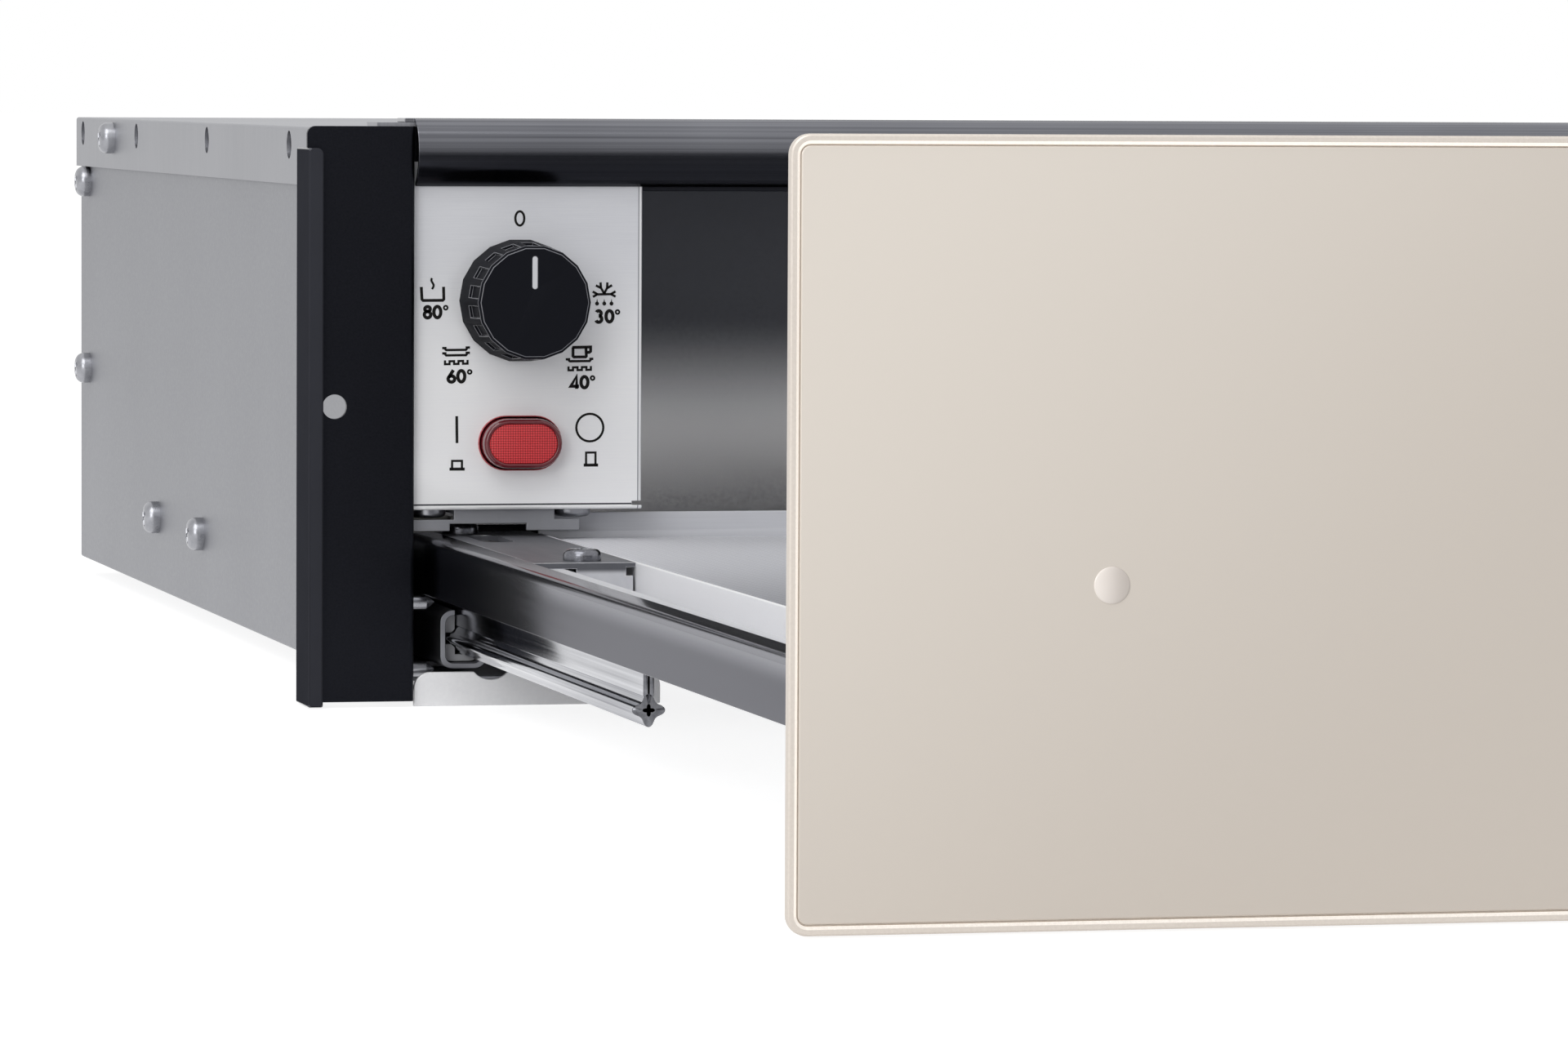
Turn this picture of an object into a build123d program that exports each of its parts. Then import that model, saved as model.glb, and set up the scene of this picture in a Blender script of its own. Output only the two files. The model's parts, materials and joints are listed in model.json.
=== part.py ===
"""Built-in warming drawer, shown with its drawer pulled out to the stop.

Millimetres. X runs to the right, Y runs back into the niche and Z runs up. The origin lies midway
between the two flange screws, on the front face of the mounting flanges. Heights in the list of
sizes are measured from the niche floor and turned to Z by up().
"""
from build123d import *
import os

os.makedirs("parts", exist_ok=True)

# ---------------------------------------------------------------- driving sizes
hole_height = 71.8            # flange screws above the niche floor

# fits
touch_gap = 0.3               # between pieces that pass or nearly touch
running_gap = 0.05            # radial, shaft in its bearing

# housing
body_width = 561.0            # over the side panels
body_depth = 510.0            # flange face to the back of the rear panel
sheet = 1.0                   # housing sheet
bracket_sheet = 1.2
floor_gap = 5.0               # side panels' lower edge above the niche floor
lid_top = 137.6
skirt_drop = 14.6             # how far the lid's skirt reaches down
panel_flange = 14.5           # turned-in edges of the side panels
ceiling_space = 14.6          # lid top to the underside of the ceiling liner
return_depth = 20.0           # side returns of the rear panel

# mounting flanges and their edge trims
flange_overhang = 17.0        # beyond the side panels
flange_width = 26.0
flange_sheet = 1.2
flange_bottom = 1.4
flange_rise = 0.8             # above the lid
flange_corner = 2.0
flange_return = 14.0          # depth of the inner return
flange_hole_inset = 6.7       # from the outer edge
flange_hole_diameter = 5.8
trim_width = 3.6
trim_proud = 2.7              # stands this far in front of the flange face
trim_depth = 15.0             # and runs this far behind it
trim_wall = 1.0
trim_bottom = 0.4
trim_short = 5.2              # ends this far below the flange top

# convex rail over the opening
rail_tall = 16.25
rail_rise = 2.7               # above the lid
rail_edge_y = 2.5             # its two long edges lie this far behind the flange face
rail_bulge = 5.0
rail_lap = 11.5               # how far its top lies on the lid
rail_ear = 2.3                # the lap reaches this far past the rail's ends

# drawer movement
travel_short = 30.0           # travel is shorter than the body by this
closed_gap = 4.0              # back of the closed front to the flange face
drawer_clearance = 5.0        # shut drawer to the rear panel

# front panel
front_bottom = 0.5
front_rise = 0.2              # above the rail
front_depth = 20.0
front_corner = 3.7
frame_wall = 2.0
rim_depth = 2.0               # square edge of the frame before its sides lean in
frame_taper = 5.6             # lean of the sides towards the back
glass_thickness = 4.0
glass_recess = 0.4
seat_width = 8.0              # ledge that the glass is bonded to
seat_thickness = 1.2
carrier_sheet = 1.2
recess_margin = 7.0           # window in the carrier around the control panel

# status light in the glass
lens_inset = 58.4             # from the edge of the front
lens_drop = 1.4               # below the middle of the switch
lens_diameter = 6.6
lens_proud = 0.3
lens_length = 14.0

# control panel
control_gap = 0.3             # to the flange return
control_width = 55.6
control_face_y = 3.0
control_clearance = 1.45      # above the tray's upstand
control_lap = 7.0             # up behind the rail
control_depth = 75.0
knob_inset = 25.6             # from the left edge
knob_drop = 26.1              # below the ceiling liner
knob_base_diameter = 29.5
knob_face_diameter = 27.2
knob_length = 19.0
knob_facets = 18
recess_start = 1.2            # shallow pocket in each flat, behind the face
recess_length = 9.0
recess_width = 2.9
recess_depth = 0.35
spindle_diameter = 6.0
pointer_width = 1.2
pointer_length = 7.7
pointer_middle = 7.1          # above the axis
thermostat_size = 25.0
switch_inset = 25.8
switch_rise = 15.95           # above the panel's lower edge
switch_width = 19.2
switch_tall = 12.0
switch_proud = 5.0
switch_travel = 3.0
switch_sleeve = 0.45          # sleeve of the bezel round the button
switch_bezel_width = 0.6
switch_body_tall = 15.4

# telescopic slides
slide_inset = 21.5            # slide centre line from the inside of the side panel
shelf_gap = 0.25              # bracket shelf above the floor panel
star_rise = 16.4              # lower star to upper star
star_arm = 2.2                # thickness of an arm
star_half_width = 3.45
star_reach = 3.6
star_scoop = 2.0              # radius of the ball tracks in the star
web_thickness = 2.3
channel_half_width = 4.4      # inside of the outer channels
channel_half_height = 5.75
channel_wall = 1.3
channel_mouth = 2.1           # half of the slot for the web
cabinet_rail_front = 8.0
cabinet_rail_short = 19.0     # ends this far before the rear panel
middle_short = 70.0           # middle rail is shorter than the body by this
middle_shut_front = 36.0      # its front end when the drawer is shut
cage_length = 130.0
lower_cage_front = 12.0
upper_cage_shut_front = 170.0
ball_diameter = 2.3
ball_offset_x = 3.1
ball_offset_z = 3.65
balls_per_row = 5

# drawer
cover_sheet = 1.35
side_rail_out = 11.0          # outer face from the slide's centre line
side_rail_height = 13.5
side_rail_strip = 7.0         # its narrow top
side_rail_sheet = 1.0
side_rail_round = 2.4
tray_in = 19.8                # outer face of the tray's side walls from the slide's centre line
tray_sheet = 1.0
tray_depth = 2.8              # floor below the edge
tray_skirt = 14.5             # edge to the underside of the lower flange
tray_short = 7.0              # ends this far before the drawer rails
upstand_rise = 5.1
mat_thickness = 2.0
mat_margin = 4.0
cover_front = -97.0
cover_past = 2.0              # reaches this far behind the drawer rails
cover_flap = 9.0

# under the drawer
tube_diameter = 6.5
tube_lift = 6.0               # heater centre above the shield
heater_pitch = 55.0
heater_runs = 6
heater_front = 90.0
shield_margin = 58.0          # from the slide's centre line
shield_front = 60.0
shield_sheet = 0.8
bulb_diameter = 6.0
bulb_length = 80.0
loom_radius = 1.6
lead_radius = 1.3
latch_in = 11.2               # from the tray's side wall
latch_lift = 8.0
latch_length = 60.0
plunger_diameter = 8.0
plunger_reach = 10.0
plunger_travel = 5.0
gland_inset = 85.5            # from the side panel
gland_lift = 9.0
gland_bore_diameter = 8.0

# fasteners
pan_diameter = 9.0
pan_height = 4.0
shank_diameter = 3.8
side_screw_length = 6.0
cover_head_height = 2.6
cover_screw_length = 4.0
control_head_height = 2.0
control_screw_length = 5.0
point_length = 2.5

# ---------------------------------------------------------------- worked out
# across
half_body = body_width / 2
side_inner = half_body - sheet
half_flange = half_body + flange_overhang
flange_inner = half_flange - flange_width
skirt_outer = half_body + touch_gap + sheet
control_left = flange_inner - control_gap
control_right = control_left - control_width
knob_x = -(control_left - knob_inset)
switch_x = -(control_left - switch_inset)
lens_x = -(half_flange - lens_inset)
slide_x = side_inner - slide_inset
side_rail_x = slide_x + side_rail_out
tray_x = slide_x - tray_in
latch_x = tray_x - latch_in
gland_x = -(half_body - gland_inset)
shield_half_width = slide_x - shield_margin
channel_outer_half = channel_half_width + channel_wall
foot_half = slide_x - channel_outer_half

# in depth
rear_inner = body_depth - sheet
lid_back = body_depth + touch_gap + sheet
travel = body_depth - travel_short
front_back_y = -(closed_gap + travel)
front_face_y = front_back_y - front_depth
glass_face_y = front_face_y + glass_recess
glass_back_y = glass_face_y + glass_thickness
cabinet_rail_back = rear_inner - cabinet_rail_short
middle_front = middle_shut_front - travel / 2
middle_length = body_depth - middle_short
upper_cage_front = upper_cage_shut_front - travel * 3 / 4
drawer_back = rear_inner - drawer_clearance - travel
tray_back = drawer_back - tray_short
cover_back = drawer_back + cover_past
heater_back = rear_inner - 89.0
heater_end = rear_inner - 39.0
shield_back = rear_inner - 54.0
latch_front = rear_inner - latch_length - 9.0
terminal_front = rear_inner - 47.0
rear_foot_back = rear_inner - 39.0

# in height
lid_under = lid_top - sheet
bottom_panel_top = floor_gap + 2 * sheet
flange_top = lid_top + flange_rise
trim_top = flange_top - trim_short
rail_top = lid_top + rail_rise
rail_bottom = rail_top - rail_tall
liner_height = lid_top - ceiling_space
front_width = 2 * half_flange
front_height = rail_top + front_rise - front_bottom
channel_outer_tall = channel_half_height + channel_wall
shelf_top = bottom_panel_top + shelf_gap + bracket_sheet
star_height = shelf_top + channel_outer_tall
star_top_height = star_height + star_rise
runner_top = star_top_height + channel_outer_tall
drawer_top = runner_top + cover_sheet
tray_floor = drawer_top - tray_depth
tray_foot = drawer_top - tray_skirt
upstand_top = drawer_top + upstand_rise
control_bottom = upstand_top + control_clearance
control_top = liner_height + control_lap
knob_height = liner_height - knob_drop
switch_height = control_bottom + switch_rise
lens_height = switch_height - lens_drop
latch_height = bottom_panel_top + latch_lift
gland_height = bottom_panel_top + gland_lift


def up(height):
    """Z of a point that lies this high above the niche floor."""
    return height - hole_height


def facing(y):
    """A plane that faces the viewer at depth y, with X to the right and Z up."""
    return Plane.XZ.offset(-y)


def slab(x0, x1, y0, y1, low, high, mode=Mode.ADD):
    """A plain block between two values on each axis, its heights above the niche floor."""
    with Locations(((x0 + x1) / 2, (y0 + y1) / 2, up((low + high) / 2))):
        Box(abs(x1 - x0), abs(y1 - y0), abs(high - low), mode=mode)


def save(piece, name):
    """Label a finished piece and write its STEP file."""
    piece.part.label = name
    export_step(piece.part, f"parts/{name}.step")


def screw_at(x, y, height, direction):
    """Place of a screw: its head stands on this point and faces along direction."""
    return Plane(origin=(x, y, up(height)), z_dir=direction).location


def drill(places):
    """Clearance holes for the shanks of the screws at these places."""
    with Locations(*places):
        Cylinder(shank_diameter / 2 + running_gap, 4 * bracket_sheet + 2, mode=Mode.SUBTRACT)


SIDES = (("left", -1), ("right", 1))

# Screws through the side panels: two hold the rear panel and two the slide bracket. Those of the lid
# go through its skirt.
rear_side_screws = [screw_at(s * half_body, body_depth - 17.5, height, (s, 0, 0))
                    for side, s in SIDES for height in (liner_height - 4.5, 62.7)]
slide_screws = [screw_at(s * half_body, body_depth - back, shelf_top + 17.15, (s, 0, 0))
                for side, s in SIDES for back in (157.0, 238.0)]
skirt_screws = [screw_at(s * skirt_outer, body_depth - 76.0, lid_top - 5.7, (s, 0, 0)) for side, s in SIDES]
lid_rear_screws = [screw_at(s * (half_body - 80.5), lid_back, lid_top - 7.6, (0, 1, 0)) for side, s in SIDES]

# ================================================================ housing
# Folded steel side panels: their upper and lower edges are turned in to carry the lid and the floor.
for side, s in SIDES:
    with BuildPart() as side_panel:
        slab(s * side_inner, s * half_body, flange_sheet, body_depth, floor_gap, lid_under)
        slab(s * side_inner, s * (side_inner - panel_flange), 16, rear_inner - return_depth,
             lid_under - sheet, lid_under)
        slab(s * side_inner, s * (side_inner - panel_flange), 16, rear_inner, floor_gap, floor_gap + sheet)
        corner = side_panel.edges().filter_by(Axis.Y).group_by(Axis.Z)[0].sort_by(Axis.X)
        fillet(corner[0 if s < 0 else -1], sheet * 0.9)
        drill(rear_side_screws + slide_screws + skirt_screws)
    save(side_panel, f"side_panel_{side}")

# Floor of the housing. Its front corners are cut away round the flange screws.
bottom_front = 3.2
with BuildPart() as bottom_panel:
    slab(-side_inner, side_inner, bottom_front, rear_inner, floor_gap + sheet, bottom_panel_top)
    for side, s in SIDES:
        slab(s * (flange_inner - 7.5), s * side_inner, bottom_front, flange_return + 1.5, floor_gap,
             bottom_panel_top + sheet, mode=Mode.SUBTRACT)
save(bottom_panel, "bottom_panel")

# Rear panel with side returns for the corner screws, the hole for the cable gland and cooling louvres.
gland_thread = gland_bore_diameter / 2 + 2.0
with BuildPart() as rear_panel:
    slab(-side_inner, side_inner, rear_inner, body_depth, floor_gap + sheet, lid_under)
    slab(-side_inner, side_inner, rear_inner - 12, rear_inner, lid_under - sheet, lid_under)
    for side, s in SIDES:
        slab(s * side_inner, s * (side_inner - sheet), rear_inner - return_depth, rear_inner,
             12, liner_height - touch_gap)
    with BuildSketch(facing(body_depth)):
        with Locations((gland_x, up(gland_height))):
            Circle(gland_thread + 0.1)
        with Locations((0, up(liner_height + 6.0))):
            with GridLocations(36, 1, 7, 1):
                SlotOverall(24, 3.2)
    extrude(amount=sheet * 1.5, both=True, mode=Mode.SUBTRACT)
    drill(rear_side_screws + lid_rear_screws)
save(rear_panel, "rear_panel")

# Lid: a shallow tray turned upside down, with a raised strip along the front that the rail lies on.
lid_hole_y = (121.0, 256.0, 387.0, body_depth - 13.0)
lid_hole_height = lid_top - 4.7
lid_hole_diameter = 7.1
joggle_top = rail_top - sheet
joggle_back = rail_edge_y + rail_lap
with BuildPart() as top_lid:
    slab(-skirt_outer, skirt_outer, joggle_back, lid_back, lid_under, lid_top)
    slab(-half_body, half_body, rail_edge_y + touch_gap, joggle_back + sheet, joggle_top - sheet,
         joggle_top)
    for side, s in SIDES:
        slab(s * (flange_inner + 1), s * half_body, flange_sheet + 0.2, joggle_back,
             joggle_top - sheet, joggle_top)
    slab(-half_body, half_body, joggle_back, joggle_back + sheet, lid_under, joggle_top)
    for side, s in SIDES:
        slab(s * (skirt_outer - sheet), s * skirt_outer, joggle_back, lid_back, lid_top - skirt_drop, lid_top)
    slab(-skirt_outer, skirt_outer, lid_back - sheet, lid_back, lid_top - skirt_drop, lid_top)
    with BuildSketch(Plane.YZ):
        with Locations(*[(y, up(lid_hole_height)) for y in lid_hole_y]):
            Circle(lid_hole_diameter / 2)
    extrude(amount=skirt_outer + sheet, both=True, mode=Mode.SUBTRACT)
    drill(skirt_screws + lid_rear_screws)
    rims = [e for e in top_lid.edges().filter_by(Axis.Y)
            if abs(abs(e.center().X) - skirt_outer) < 0.01 and abs(e.center().Z - up(lid_top)) < 0.01]
    fillet(rims, sheet * 0.8)
save(top_lid, "top_lid")

# Ceiling liner of the warm space, turned up at the front to carry the rail.
liner_front = control_face_y + sheet + 0.2
with BuildPart() as ceiling_liner:
    slab(-side_inner, side_inner, 15.5, rear_inner, liner_height, liner_height + sheet)
    slab(-flange_inner, flange_inner, liner_front, 15.5, liner_height, liner_height + sheet)
    slab(-flange_inner, flange_inner, liner_front, liner_front + sheet, liner_height, joggle_top - sheet)
save(ceiling_liner, "ceiling_liner")

# Black mounting flanges: a face with the screw hole, a return along the opening and a tab on the side
# panel. The outer edge is cut back where the edge trim wraps round it.
tab_back = 30.0
return_spots = [screw_at(s * (flange_inner + flange_sheet), 7.0, height, (s, 0, 0))
                for side, s in SIDES for height in (8.6, 24.6)]
for side, s in SIDES:
    with BuildPart() as flange:
        with BuildSketch(facing(0)):
            with Locations((s * (half_flange - flange_width / 2), up((flange_bottom + flange_top) / 2))):
                Rectangle(flange_width, flange_top - flange_bottom)
        extrude(amount=-flange_sheet)
        outer = [e for e in flange.edges().filter_by(Axis.Y)
                 if abs(abs(e.center().X) - half_flange) < 0.01 and e.center().Z > 0]
        fillet(outer, flange_corner)
        inner = [e for e in flange.edges().filter_by(Axis.Z)
                 if abs(abs(e.center().X) - flange_inner) < 0.01 and e.center().Y < 0.01]
        fillet(inner, flange_sheet * 0.9)
        slab(s * flange_inner, s * (flange_inner + flange_sheet), flange_sheet * 0.9, flange_return,
             4, liner_height - 0.5)
        slab(s * flange_inner, s * side_inner, flange_return - flange_sheet, flange_return,
             14, liner_height - 0.5)
        slab(s * (side_inner - flange_sheet), s * side_inner, flange_return - flange_sheet, tab_back,
             14, liner_height - 0.5)
        slab(s * (half_flange - trim_wall), s * (half_flange + 1), -1, flange_sheet + 1,
             flange_bottom - 1, trim_top, mode=Mode.SUBTRACT)
        with BuildSketch(facing(0)):
            with Locations((s * (half_flange - flange_hole_inset), 0)):
                Circle(flange_hole_diameter / 2)
        extrude(amount=-flange_sheet * 2, mode=Mode.SUBTRACT)
        drill(return_spots)
    save(flange, f"mounting_flange_{side}")

# Edge trims: a black profile pushed over the outer edge of each flange.
for side, s in SIDES:
    nose = half_flange - trim_width
    with BuildPart() as edge_trim:
        with BuildSketch(Plane.XY.offset(up(trim_bottom))):
            with BuildLine():
                Polyline((s * half_flange, -trim_proud), (s * half_flange, trim_depth),
                         (s * (half_flange - trim_wall), trim_depth),
                         (s * (half_flange - trim_wall), flange_sheet + trim_wall),
                         (s * nose, flange_sheet + trim_wall), (s * nose, flange_sheet),
                         (s * (half_flange - trim_wall), flange_sheet), (s * (half_flange - trim_wall), 0),
                         (s * nose, 0), (s * nose, -trim_proud), close=True)
            make_face()
        extrude(amount=trim_top - trim_bottom)
        cap = [e for e in edge_trim.edges().filter_by(Axis.Y)
               if abs(abs(e.center().X) - nose) < 0.01 and e.center().Y < 0 and e.center().Z > 0]
        fillet(cap, 1.6)
        fillet(edge_trim.faces().sort_by(Axis.Y)[0].outer_wire().edges(), 0.5)
    save(edge_trim, f"edge_trim_{side}")

# Convex rail across the top of the opening: one bent sheet whose upper edge lies on the lid's strip.
rail_half = flange_inner - 0.4
rail_mid = (rail_bottom + rail_top) / 2
with BuildPart() as top_rail:
    with BuildSketch(Plane.YZ.offset(-rail_half)):
        with BuildLine():
            ThreePointArc((rail_edge_y, up(rail_bottom)), (rail_edge_y - rail_bulge, up(rail_mid)),
                          (rail_edge_y, up(rail_top)))
            Line((rail_edge_y, up(rail_top)), (joggle_back, up(rail_top)))
            Line((joggle_back, up(rail_top)), (joggle_back, up(joggle_top)))
            Line((joggle_back, up(joggle_top)), (rail_edge_y, up(joggle_top)))
            ThreePointArc((rail_edge_y, up(joggle_top)),
                          (rail_edge_y - rail_bulge + sheet, up(rail_mid)),
                          (rail_edge_y, up(rail_bottom + sheet)))
            Line((rail_edge_y, up(rail_bottom + sheet)), (rail_edge_y, up(rail_bottom)))
        make_face()
    extrude(amount=2 * rail_half)
    slab(-rail_half - rail_ear, rail_half + rail_ear, rail_edge_y + 1, joggle_back, joggle_top, rail_top)
save(top_rail, "top_rail")

# Front feet: light folded brackets under the front corners, notched for the slide screw.
foot_top = shelf_top - 0.3
foot_front = 2.0
foot_back = 45.0
foot_notch_x = slide_x - 5.6
foot_left = control_left
foot_right = foot_left - 60.2
foot_notch_radius = 5.5
foot_notch_depth = 1.9
for side, s in SIDES:
    with BuildPart() as foot:
        with BuildSketch(facing(foot_front)):
            with Locations((s * (foot_left + foot_right) / 2, up(foot_top / 2))):
                Rectangle(foot_left - foot_right, foot_top)
        extrude(amount=-flange_sheet)
        tops = foot.edges().filter_by(Axis.Y).group_by(Axis.Z)[-1]
        fillet(tops, 4.0)
        with BuildSketch(facing(foot_front)):
            with Locations((s * foot_notch_x, up(foot_top + foot_notch_radius - foot_notch_depth))):
                Circle(foot_notch_radius)
        extrude(amount=-flange_sheet, mode=Mode.SUBTRACT)
        slab(s * (foot_left - 7.7), s * foot_right, foot_front, foot_back, 0, flange_sheet)
        slab(s * (foot_left - 7.7), s * foot_right, foot_back - flange_sheet, foot_back, 0,
             floor_gap + sheet)
    save(foot, f"foot_bracket_{side}")

# Rear feet: two folded channels under the floor.
with BuildPart() as rear_feet:
    for side, s in SIDES:
        slab(s * (slide_x - 108), s * (slide_x - 28), rear_foot_back - 40, rear_foot_back, 0,
             floor_gap + sheet)
        slab(s * (slide_x - 109), s * (slide_x - 27), rear_foot_back - 40 + flange_sheet,
             rear_foot_back - flange_sheet, flange_sheet, floor_gap + sheet + 1, mode=Mode.SUBTRACT)
save(rear_feet, "rear_feet")

# ================================================================ telescopic slides
# Brackets on the side panels with a shelf that each cabinet rail lies on.
bracket_top = shelf_top + 25.5
for side, s in SIDES:
    with BuildPart() as slide_bracket:
        slab(s * side_inner, s * (side_inner - bracket_sheet), tab_back + 2, rear_inner - return_depth - 3,
             shelf_top - bracket_sheet, bracket_top)
        slab(s * side_inner, s * (slide_x - channel_outer_half), tab_back + 2,
             rear_inner - return_depth - 3, shelf_top - bracket_sheet, shelf_top)
        drill(slide_screws)
    save(slide_bracket, f"slide_bracket_{side}")


def channel_outline(x, z, mouth):
    """Rolled C profile round a star at x, z; mouth is 1 where it opens upwards and -1 downwards."""
    with Locations((x, z)):
        RectangleRounded(2 * channel_outer_half, 2 * channel_outer_tall, 3.0)
        RectangleRounded(2 * channel_half_width, 2 * channel_half_height, 2.0, mode=Mode.SUBTRACT)
    with Locations((x, z + mouth * channel_outer_tall)):
        Rectangle(2 * channel_mouth, 4 * channel_wall, mode=Mode.SUBTRACT)


def star_outline(x, z, web):
    """Star of the middle rail at x, z: crossed arms with scooped corners and a diamond bore."""
    with Locations((x, z)):
        Rectangle(2 * star_half_width, star_arm)
        Rectangle(star_arm, 2 * star_reach)
        Rectangle(2 * (star_arm / 2 + star_scoop), 2 * (star_arm / 2 + star_scoop))
    scoop = star_arm / 2 + star_scoop
    with Locations(*[(x + a * scoop, z + b * scoop) for a in (-1, 1) for b in (-1, 1)]):
        Circle(star_scoop, mode=Mode.SUBTRACT)
    with Locations((x, z)):
        Rectangle(1.7, 1.7, rotation=45, mode=Mode.SUBTRACT)


# Cabinet rails: rolled C profiles open at the top, fixed to the shelf.
for side, s in SIDES:
    with BuildPart() as cabinet_rail:
        with BuildSketch(facing(cabinet_rail_front)):
            channel_outline(s * slide_x, up(star_height), 1)
        extrude(amount=-(cabinet_rail_back - cabinet_rail_front))
    save(cabinet_rail, f"cabinet_rail_{side}")

# Middle rails: a doubled sheet rolled into a star at the bottom and another at the top.
for side, s in SIDES:
    with BuildPart() as middle_rail:
        with BuildSketch(facing(middle_front)):
            star_outline(s * slide_x, up(star_height), 1)
            star_outline(s * slide_x, up(star_top_height), -1)
            with Locations((s * slide_x, up((star_height + star_top_height) / 2))):
                Rectangle(web_thickness, star_rise - 2 * star_reach + 1.0)
                Rectangle(0.3, star_rise - 2 * star_reach - 2.0, mode=Mode.SUBTRACT)
        extrude(amount=-middle_length)
    save(middle_rail, f"middle_rail_{side}")

# Ball cages: moulded strips that wrap each star, with steel balls in their corners.
cage_half_width = channel_half_width - touch_gap
cage_half_height = channel_half_height - touch_gap
for level, front, height, mouth in (("lower", lower_cage_front, star_height, 1),
                                    ("upper", upper_cage_front, star_top_height, -1)):
    for side, s in SIDES:
        x, z = s * slide_x, up(height)
        with BuildPart() as ball_cage:
            with BuildSketch(facing(front)):
                with Locations((x, z)):
                    RectangleRounded(2 * cage_half_width, 2 * cage_half_height, 1.8)
                    Rectangle(2 * (star_half_width + touch_gap), star_arm + 2 * touch_gap,
                              mode=Mode.SUBTRACT)
                    Rectangle(star_arm + 2 * touch_gap, 2 * (star_reach + touch_gap), mode=Mode.SUBTRACT)
                    Rectangle(5.2, 5.2, rotation=45, mode=Mode.SUBTRACT)
                with Locations((x, z + mouth * cage_half_height)):
                    Rectangle(web_thickness + 2 * touch_gap, 2 * cage_half_height, mode=Mode.SUBTRACT)
            extrude(amount=-cage_length)
            seats = [(x + a * ball_offset_x, front + cage_length * (n + 0.5) / balls_per_row,
                      z + b * ball_offset_z)
                     for a in (-1, 1) for b in (-1, 1) for n in range(balls_per_row)]
            with Locations(*seats):
                Sphere(ball_diameter / 2 + running_gap, mode=Mode.SUBTRACT)
            with Locations(*seats):
                Sphere(ball_diameter / 2)
        save(ball_cage, f"ball_cage_{level}_{side}")

cover_screw_spots = ((slide_x - 9.2, cover_front + 9.0), (slide_x - 1.5, drawer_back - 5.0))
cover_spots = [screw_at(s * x, y, drawer_top, (0, 0, 1)) for side, s in SIDES for x, y in cover_screw_spots]
cover_head_pass = pan_diameter / 2 + 1.0

# Drawer rails: the same C profile turned over, riding on the upper stars.
for side, s in SIDES:
    with BuildPart() as drawer_rail:
        with BuildSketch(facing(front_back_y)):
            channel_outline(s * slide_x, up(star_top_height), -1)
        extrude(amount=-(drawer_back - front_back_y))
        drill(cover_spots)
    save(drawer_rail, f"drawer_rail_{side}")

# ================================================================ drawer
# Side rails: smooth folded covers along the outside of the drawer, lying on the drawer rails.
for side, s in SIDES:
    with BuildPart() as side_rail:
        with BuildSketch(facing(front_back_y)):
            with BuildLine():
                Polyline((s * side_rail_x, up(drawer_top - side_rail_height)),
                         (s * side_rail_x, up(drawer_top)),
                         (s * (side_rail_x - side_rail_strip), up(drawer_top)),
                         (s * (side_rail_x - side_rail_strip), up(runner_top)),
                         (s * (side_rail_x - side_rail_sheet), up(runner_top)),
                         (s * (side_rail_x - side_rail_sheet), up(drawer_top - side_rail_height)), close=True)
            make_face()
        extrude(amount=-(drawer_back - front_back_y))
        bend = [e for e in side_rail.edges().filter_by(Axis.Y)
                if abs(abs(e.center().X) - side_rail_x) < 0.01 and e.center().Z > up(drawer_top) - 0.01]
        fillet(bend, min(side_rail_round, (drawer_top - runner_top) + side_rail_sheet * 0.9))
    save(side_rail, f"side_rail_{side}")

# Tray: folded steel pan with low edges, a rear upstand and a foot flange against each drawer rail.
with BuildPart() as tray:
    slab(-tray_x, tray_x, front_back_y, tray_back, tray_floor - tray_sheet, tray_floor)
    for side, s in SIDES:
        slab(s * (tray_x - tray_sheet), s * tray_x, front_back_y, tray_back, tray_foot, drawer_top)
        slab(s * (tray_x - tray_sheet), s * foot_half, front_back_y, tray_back, tray_foot,
             tray_foot + tray_sheet)
    slab(-tray_x, tray_x, front_back_y, front_back_y + tray_sheet, tray_foot, drawer_top)
    slab(-tray_x, tray_x, tray_back - tray_sheet, tray_back, tray_foot, upstand_top)
save(tray, "tray")

# Ribbed-free silicone mat that lies loose in the tray.
with BuildPart() as tray_mat:
    with BuildSketch(Plane.XY.offset(up(tray_floor))):
        with Locations((0, (front_back_y + tray_back) / 2)):
            RectangleRounded(2 * (tray_x - mat_margin), tray_back - front_back_y - 2 * mat_margin, 4.0)
    extrude(amount=mat_thickness)
    fillet(tray_mat.edges().group_by(Axis.Z)[-1], 0.5)
save(tray_mat, "tray_mat")

# Rear covers: bent plates that tie each drawer rail to the tray, with a slot and a flap at the front.
for side, s in SIDES:
    cover_outer = side_rail_x - side_rail_strip - 0.1
    with BuildPart() as rear_cover:
        slab(s * tray_x, s * cover_outer, cover_front, cover_back, runner_top, drawer_top)
        slab(s * (tray_x + 0.6), s * (foot_half - 0.4), cover_front, cover_front + tray_sheet,
             drawer_top - cover_flap, drawer_top)
        with BuildSketch(Plane.XY.offset(up(drawer_top))):
            with Locations((s * (slide_x - 4.2), drawer_back - 27)):
                SlotOverall(28, 7.7, rotation=90)
        extrude(amount=-2 * tray_sheet, mode=Mode.SUBTRACT)
        slab(s * (tray_x - 1), s * (tray_x + 2.2), cover_front - 1, cover_front + 1.6,
             drawer_top - 3.0, drawer_top - 1.0, mode=Mode.SUBTRACT)
        drill(cover_spots)
    save(rear_cover, f"rear_cover_{side}")

# Front frame: aluminium frame round the glass. Behind a narrow square rim its sides lean inwards to the
# back, so that fingers can take hold of the edge; a ledge inside carries the glass.
frame_mid = up(front_bottom + front_height / 2)
lean_start = front_face_y + rim_depth
carrier_y = front_back_y - carrier_sheet


def frame_sheet(inset, corner):
    """Rounded rectangle of the front, smaller by inset on every side."""
    with Locations((0, frame_mid)):
        RectangleRounded(front_width - 2 * inset, front_height - 2 * inset, corner)


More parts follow.
